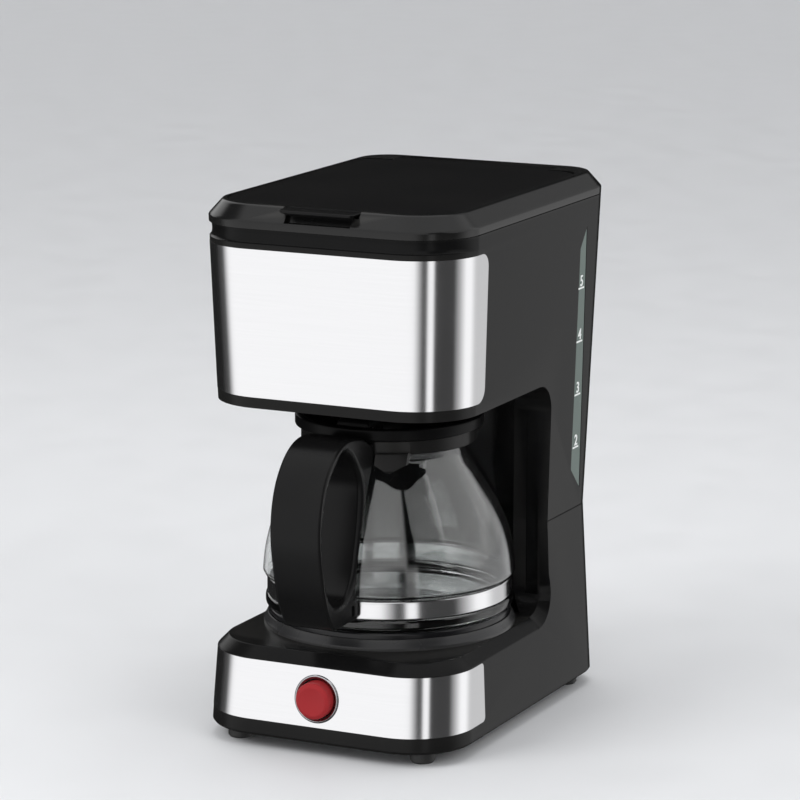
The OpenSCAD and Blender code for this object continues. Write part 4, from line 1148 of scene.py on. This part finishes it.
@dataclass
class Carafe:
    """The glass jug with its collar, handle, steel band and lid."""

    wall: float = 2.0
    belly: tuple[Flat, ...] = (
        (63.4, 77), (62.5, 86), (60.4, 96), (57, 106.5), (51.3, 119), (45, 130.6), (41, 137.2), (39.8, 141),
        (41, 148.4))
    groove: float = 60.8
    band: Place = (61.5, 65.5, 74.1)
    collar: Place = (44.0, 143.6, 150.6)
    lid_radius: float = 47.0
    lid_top: float = 157.0
    handle_half: float = 13.5
    outer: tuple[Flat, ...] = (
        (-55.8, 150.8), (-66, 155.4), (-82, 156.4), (-94.7, 151.2), (-104.5, 140.6), (-109.6, 128.5),
        (-111.3, 114), (-109.2, 98.5), (-104.6, 81), (-97.6, 67.6))
    foot: tuple[Flat, ...] = (
        (-96.0, 66.2), (-94.0, 65.9), (-71.2, 65.9), (-70.1, 67.0), (-70.0, 74.5), (-71.9, 76))
    inner: tuple[Flat, ...] = (
        (-72.2, 80), (-71, 88), (-69.2, 95), (-67.3, 102), (-63, 118.2), (-57.5, 130.7), (-53, 140))
    hole: tuple[Flat, ...] = (
        (-82, 151.2), (-91.5, 146.9), (-101.3, 135.4), (-106.2, 120.1), (-106.4, 105.1), (-103, 89.3),
        (-94.6, 78.2), (-83.5, 78), (-75, 86.3), (-70.2, 100.6), (-66.2, 118.8), (-66, 132.4), (-73.2, 144.7))

    @property
    def centre(self) -> Place:
        """The jug's axis at the resting plane."""
        return (0, BAY.axis_y, 0)

    def glass(self) -> bpy.types.Object:
        """The blown jug, one wall with a thick rounded foot."""
        wall, groove = self.wall, self.groove
        outside = spline(self.belly, 7)
        inside = offset(outside, wall, closed=False)[::-1]
        lip = [(41.0 - 0.35, 149.0), (40.0, 149.2), (39.35, 148.95)]
        foot = [(0, 59.4), (49.5, 59.4), (50.6, 59.1), (51.4, 58.75), (52.4, 58.6), (59.0, 58.6),
                (60.3, 58.85), (61.3, 59.5), (61.95, 60.4), (62.2, 61.4), (62.2, 63.3), (62.0, 64.2),
                (61.5, 64.9), (groove, 65.2), (groove, 74.4), (groove + 0.8, 74.9), (groove + 1.9, 75.6)]
        floor = [(groove - wall, 75.2), (groove - wall, 66.0), (groove - wall - 0.7, 64.0),
                 (groove - wall - 2.4, 62.5), (groove - wall - 4.6, 62.0), (0, 62.0)]
        jug = Bench.turned("carafe_jug", [*foot, *outside, *lip, *inside, *floor], self.centre, steps=144)
        return Bench.smooth(jug, 60)

    def collar_piece(self) -> bpy.types.Object:
        """The neck collar with its two slanting tabs."""
        radius, low, high = self.collar
        ring = Bench.turned("neck_collar", [
            (41.35, low), (radius - 0.4, low), (radius, low + 0.4), (radius, high - 0.4),
            (radius - 0.4, high), (41.35, high)], self.centre, steps=128)
        half = self.handle_half
        y = BAY.axis_y
        front = y - radius
        slot = Bench.block("slot", (-half - 0.2, front - 1, low - 1), (half + 0.2, front + 1.6, 165))
        Bench.cut(ring, slot)
        skirt = Bench.turned("skirt", [
            (radius - 0.6, low + 1.2), (radius + 1.6, low + 1.2), (radius + 2.2, low + 0.6),
            (radius + 4.4, 136.6), (radius + 4.2, 135.9), (radius + 3.2, 135.3),
            (radius - 0.6, low - 0.4)], self.centre, steps=128)
        edge = ((half + 0.4, 139.5), (half + 7.5, 135.2), (half + 14.4, 139.5))
        tabs = [
            Bench.loft("tab", [
                [(side * x, y + dy, z) for dy, z in ((-52, low_z), (-20, low_z), (-20, 160), (-52, 160))]
                for x, low_z in edge])
            for side in (1, -1)]
        Bench.cut(tabs[0], tabs[1], Cut.JOIN)
        Bench.cut(skirt, tabs[0], Cut.KEEP)
        return Bench.smooth(Bench.cut(ring, skirt, Cut.JOIN))

    def across(
        self, name: str, outline: Sequence[Flat], grow: float, radius: float, reach: float = 0.0
    ) -> bpy.types.Object:
        """An outline carried across the handle's width, its edges turned in or out.

        Args:
            name: Name of the solid.
            outline: Closed outline, running anticlockwise.
            grow: 1 to round the ends in, -1 to flare them out.
            radius: Radius of the turned edges.
            reach: How far past the sides it goes.

        Returns:
            A closed solid.
        """
        half = self.handle_half
        ends: list[tuple[float, float]] = []
        for i in range(7):
            angle = math.radians(90 * i / 6)
            ends.append((half - radius + radius * math.sin(angle), radius * (1 - math.cos(angle))))
        if reach:
            ends.append((half + reach, radius))
        ends = ends[::-1]
        stations = [(-x, d) for x, d in ends] + [(x, d) for x, d in ends[::-1]]
        return Bench.loft(name, [sides(offset(outline, grow * d), x) for x, d in stations])

    def handle(self) -> bpy.types.Object:
        """The broad handle with its rounded finger opening."""
        edge = [*spline(self.outer, 5), *self.foot, *spline(self.inner, 4), (-52.5, 143.6), (-52.5, 150.4)]
        grip = self.across("jug_handle", edge, 1.0, 1.7)
        opening = self.across("opening", spline(self.hole, 6, closed=True), -1.0, 3.0, 2.0)
        Bench.cut(grip, opening)
        half = self.handle_half
        slot = Bench.block("slot", (half - 2.2, -77.6, 68.4), (half + 1, -74.1, 74.2), 0.0)
        Bench.cut(grip, Bench.soften(slot, 1.3, 4, 60))
        for y, z in ((-78.5, 70.5), (-60.5, 147.5)):
            Bench.cut(grip, Bench.rod("screw_seat", (-half - 1, y, z), (2.5 - half, y, z), 3.0))
        return Bench.smooth(grip, 40)

    def lid(self) -> bpy.types.Object:
        """The jug's lid with its thumb lever."""
        r, top = self.lid_radius, self.lid_top
        disc = Bench.turned("jug_lid", [
            (5, 151.4), (36, 151.4), (36, 144.6), (37.4, 144.6), (37.4, 151), (r - 0.9, 151),
            (r - 0.25, 151.3), (r, 152), (r, top - 1.6), (r - 0.3, top - 0.7), (r - 1.0, top - 0.15),
            (r - 1.8, top), (r - 3.6, top), (r - 4.6, top - 0.7), (r - 6, 154), (9, 153.4), (8, 156.2),
            (7.4, 156.4), (5.4, 156.4), (5, 156.0)],
            self.centre, steps=128)
        y = BAY.axis_y
        rows = ((152.0, 9.0, -49.0, -33.0), (156.4, 9.0, -49.0, -33.0), (158.2, 8.6, -48.6, -36.5),
                (159.5, 7.9, -47.9, -39.5), (160.2, 6.8, -46.8, -41.2))
        lever = Bench.loft("lever", [
            [(-w, front, h), (w, front, h), (w, rear, h), (-w, rear, h)] for h, w, front, rear in rows])
        Bench.soften(lever, 0.9, 3, 25)
        Bench.cut(disc, lever, Cut.JOIN)
        Bench.cut(disc, Bench.rod("pin_bore", (-10, y - 37, 155), (10, y - 37, 155), 1.3))
        return Bench.smooth(disc)

    def steel_band(self) -> bpy.types.Object:
        """The clamped steel band, its edges rolled."""
        r, low, high = self.band
        inner = self.groove + 0.05
        return Bench.smooth(Bench.turned("jug_band", [
            (inner, low), (r - 0.2, low), (r, low + 0.25), (r - 0.05, low + 0.8), (r - 0.12, low + 1.2),
            (r - 0.12, high - 1.2), (r - 0.05, high - 0.8), (r, high - 0.25), (r - 0.2, high), (inner, high)],
            self.centre, steps=128), 50)

    def pieces(self) -> list[Piece]:
        """All the jug's pieces."""
        return [
            Piece(self.glass(), Body.CARAFE, "glass", GLASS, ("carafe_glass",)),
            Piece(self.collar_piece(), Body.CARAFE, "carafe_abs", CARAFE_ABS, ("carafe_collar",)),
            Piece(self.handle(), Body.CARAFE, "carafe_abs", CARAFE_ABS, ("carafe_handle",)),
            Piece(self.lid(), Body.CARAFE, "carafe_abs", JUG_LID, ("carafe_lid",)),
            Piece(self.steel_band(), Body.CARAFE, "steel", STEEL, ("carafe_band",)),
        ]


@dataclass
class FilterMesh:
    """The reusable mesh cup inside the basket."""

    low: float = 184.0
    top: float = 236.0
    low_radius: float = 32.2
    top_radius: float = 47.4
    rim_radius: float = 54.0

    def pieces(self) -> list[Piece]:
        """The cup with its rim."""
        r0, r1, rim = self.low_radius, self.top_radius, self.rim_radius
        cup = Bench.turned("mesh_cup", [
            (0, self.low), (r0, self.low), (r1, self.top), (rim, self.top), (rim, self.top + 1.2),
            (r1 - 0.8, self.top + 1.2), (r0 - 0.8, self.low + 0.8), (0, self.low + 0.8)], (0, BAY.axis_y, 0))
        return [Piece(Bench.smooth(cup), Body.ROOT, "mesh_nylon", MESH, ("mesh_filter",))]


# ---- Parts that keep their own shape ----

DRESS: dict[str, Finish] = {
    "base_cover": PLASTIC, "feet": RUBBER, "base_screws": ZINC, "switch_body": PLASTIC, "switch_spring": ZINC,
    "cord_inlet": RUBBER, "power_leads": BRASS, "heating_element": ALUMINIUM, "heater_clamp": ZINC,
    "clamp_screws": ZINC, "thermostat": NYLON, "thermal_fuse": BRASS, "water_tank": TANK,
    "tank_grommet": RUBBER, "check_valve": NYLON, "inlet_hose": SILICONE, "riser_hose": SILICONE,
    "hose_clips": ZINC, "spray_head": PLASTIC, "filter_basket": PLASTIC, "drip_valve": NYLON,
    "valve_spring": ZINC, "valve_seal": SEAL, "lid_liner": PLASTIC, "hinge_pins": ZINC,
    "carafe_lid_pin": ZINC, "handle_screws": ZINC,
}


def dress_carried_parts() -> None:
    """Gives every part that keeps its own shape its finish."""
    for node, finish in DRESS.items():
        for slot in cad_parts[node].material_slots:
            slot.material = finish.material()
        LOG.info("%s: %s", node, finish.name)


# ---- Studio ----


@dataclass
class Studio:
    """Camera, floor, soft lights, and the panels that the gloss reflects."""

    eye: Place = (0.7965, -1.6382, 0.5383)
    target: Place = (0.0, 0.013, 0.135)
    lens: float = 167.66
    shift: Flat = (-0.0096, 0.0564)
    panel: float = 1.6
    backdrop: Colour = (0.86, 0.865, 0.875)
    around: tuple[Flat, ...] = (
        (-180, 0.01), (-100, 0.015), (-80, 0.09), (-66, 0.92), (-58, 1.0), (10, 1.0), (18, 0.95), (27, 0.41),
        (33, 0.07), (39, 0.08), (43, 1.0), (51, 1.0), (54, 0.05), (90, 0.05), (103, 0.48), (116, 1.0),
        (128, 1.0), (141, 0.62), (150, 0.56), (161, 0.56), (172, 0.12), (178, 0.01))
    above: tuple[Flat, ...] = (
        (-180, 0.01), (-140, 0.02), (-134, 0.9), (-108, 0.9), (-102, 0.02), (-80, 0.09), (-66, 0.92),
        (41, 1.0), (44, 0.02), (78, 0.02), (84, 0.9), (150, 0.9), (158, 0.36), (170, 0.3), (178, 0.01))
    lights: tuple[tuple[str, Place, float, float], ...] = (
        ("key_light", (-0.75, -1.05, 1.15), 0.8, 9.0),
        ("fill_light", (1.30, -0.55, 0.95), 0.9, 5.0),
        ("top_light", (0.0, 0.25, 1.45), 0.9, 5.0))

    def camera(self) -> None:
        """The camera that frames the whole machine from its front right."""
        data = bpy.data.cameras.new("camera")
        data.lens, data.sensor_width = self.lens, 36.0
        data.shift_x, data.shift_y = self.shift
        camera = bpy.data.objects.new("camera", data)
        camera.location = self.eye
        camera.rotation_euler = (Vector(self.target) - Vector(self.eye)).to_track_quat("-Z", "Y").to_euler()
        bpy.context.scene.collection.objects.link(camera)
        bpy.context.scene.camera = camera

    def floor(self) -> None:
        """A plain pale floor."""
        bpy.ops.object.select_all(action="DESELECT")
        bpy.ops.mesh.primitive_plane_add(size=12.0, location=(0, 0, 0))
        floor = Bench.name(bpy.context.object, "floor")
        floor.data.materials.append(FLOOR.material())
        floor.visible_glossy = False

    def lamps(self) -> None:
        """Large soft lights, which light the matt parts only."""
        for name, place, size, power in self.lights:
            data = bpy.data.lights.new(name, "AREA")
            data.size, data.energy = size, power
            lamp = bpy.data.objects.new(name, data)
            lamp.location = place
            lamp.rotation_euler = (Vector((0, 0, 0.12)) - Vector(place)).to_track_quat("-Z", "Y").to_euler()
            lamp.visible_glossy = False
            lamp.visible_camera = False
            bpy.context.scene.collection.objects.link(lamp)

    @staticmethod
    def ring(
        wires: Wiring, angle: bpy.types.NodeSocket, levels: Sequence[Flat]
    ) -> bpy.types.NodeSocket:
        """A ring of panels round the machine.

        Args:
            wires: Tree that gets the nodes.
            angle: Direction of the ray in radians, 0 in front.
            levels: Brightness at directions in degrees.

        Returns:
            The brightness as a colour.
        """
        ramp = wires.add("ShaderNodeValToRGB", {0: wires.maths("MULTIPLY_ADD", angle, 1 / TURN, 0.5)})
        stops = ramp.color_ramp.elements
        stops.remove(stops[1])
        for i, (degrees, value) in enumerate(levels):
            stop = stops.new(degrees / 360 + 0.5) if i else stops[0]
            stop.color = (value, value, value, 1.0)
        return ramp.outputs[0]

    def surroundings(self) -> None:
        """White panels round the machine for the gloss, and a plain pale backdrop."""
        world = bpy.data.worlds.new("studio")
        bpy.context.scene.world = world
        world.use_nodes = True
        world.node_tree.nodes.clear()
        world.cycles.sampling_method = "NONE"
        wires = Wiring(world.node_tree)
        look = wires.add("ShaderNodeTexCoord").outputs["Generated"]
        parts = wires.add("ShaderNodeSeparateXYZ", {0: look}).outputs
        angle = wires.maths("ARCTAN2", parts["X"], wires.maths("MULTIPLY", parts["Y"], -1.0))
        low, high = (self.ring(wires, angle, stops) for stops in (self.around, self.above))
        level = wires.blend(wires.spread(parts["Z"], 0.10, 0.20, (0.0, 1.0)), low, high)
        faded = wires.blend(wires.spread(parts["Z"], -0.7, -0.38, (0.0, 1.0)), (0.08, 0.08, 0.08, 1.0), level)
        overhead = wires.spread(parts["Z"], 0.78, 0.88, (0.0, 1.0))
        shown = wires.blend(overhead, faded, (1.1, 1.1, 1.1, 1.0))
        path = wires.add("ShaderNodeLightPath").outputs
        panels = wires.add("ShaderNodeBackground", {"Color": shown, "Strength": self.panel})
        plain = wires.add("ShaderNodeBackground", {"Color": rgba(self.backdrop), "Strength": 1.0})
        soft = wires.add("ShaderNodeBackground", {"Color": (0.97, 0.98, 1.0, 1.0), "Strength": 0.72})
        matt = wires.add("ShaderNodeMixShader", {
            0: path["Is Diffuse Ray"], 1: plain.outputs[0], 2: soft.outputs[0]})
        both = wires.add("ShaderNodeMixShader", {
            0: path["Is Glossy Ray"], 1: matt.outputs[0], 2: panels.outputs[0]})
        wires.add("ShaderNodeOutputWorld", {"Surface": both.outputs[0]})

    def build(self) -> None:
        """Sets up the whole studio."""
        self.camera()
        self.floor()
        self.lamps()
        self.surroundings()
        bpy.context.scene.view_settings.view_transform = "Standard"


def main() -> None:
    logging.basicConfig(level=logging.INFO, format="%(name)s %(message)s")
    Studio().build()
    for assembly in (Base(), Head(), TankLid(), Hotplate(), Carafe(), FilterMesh()):
        for piece in assembly.pieces():
            piece.mount()
    dress_carried_parts()


if __name__ == "__main__":
    main()
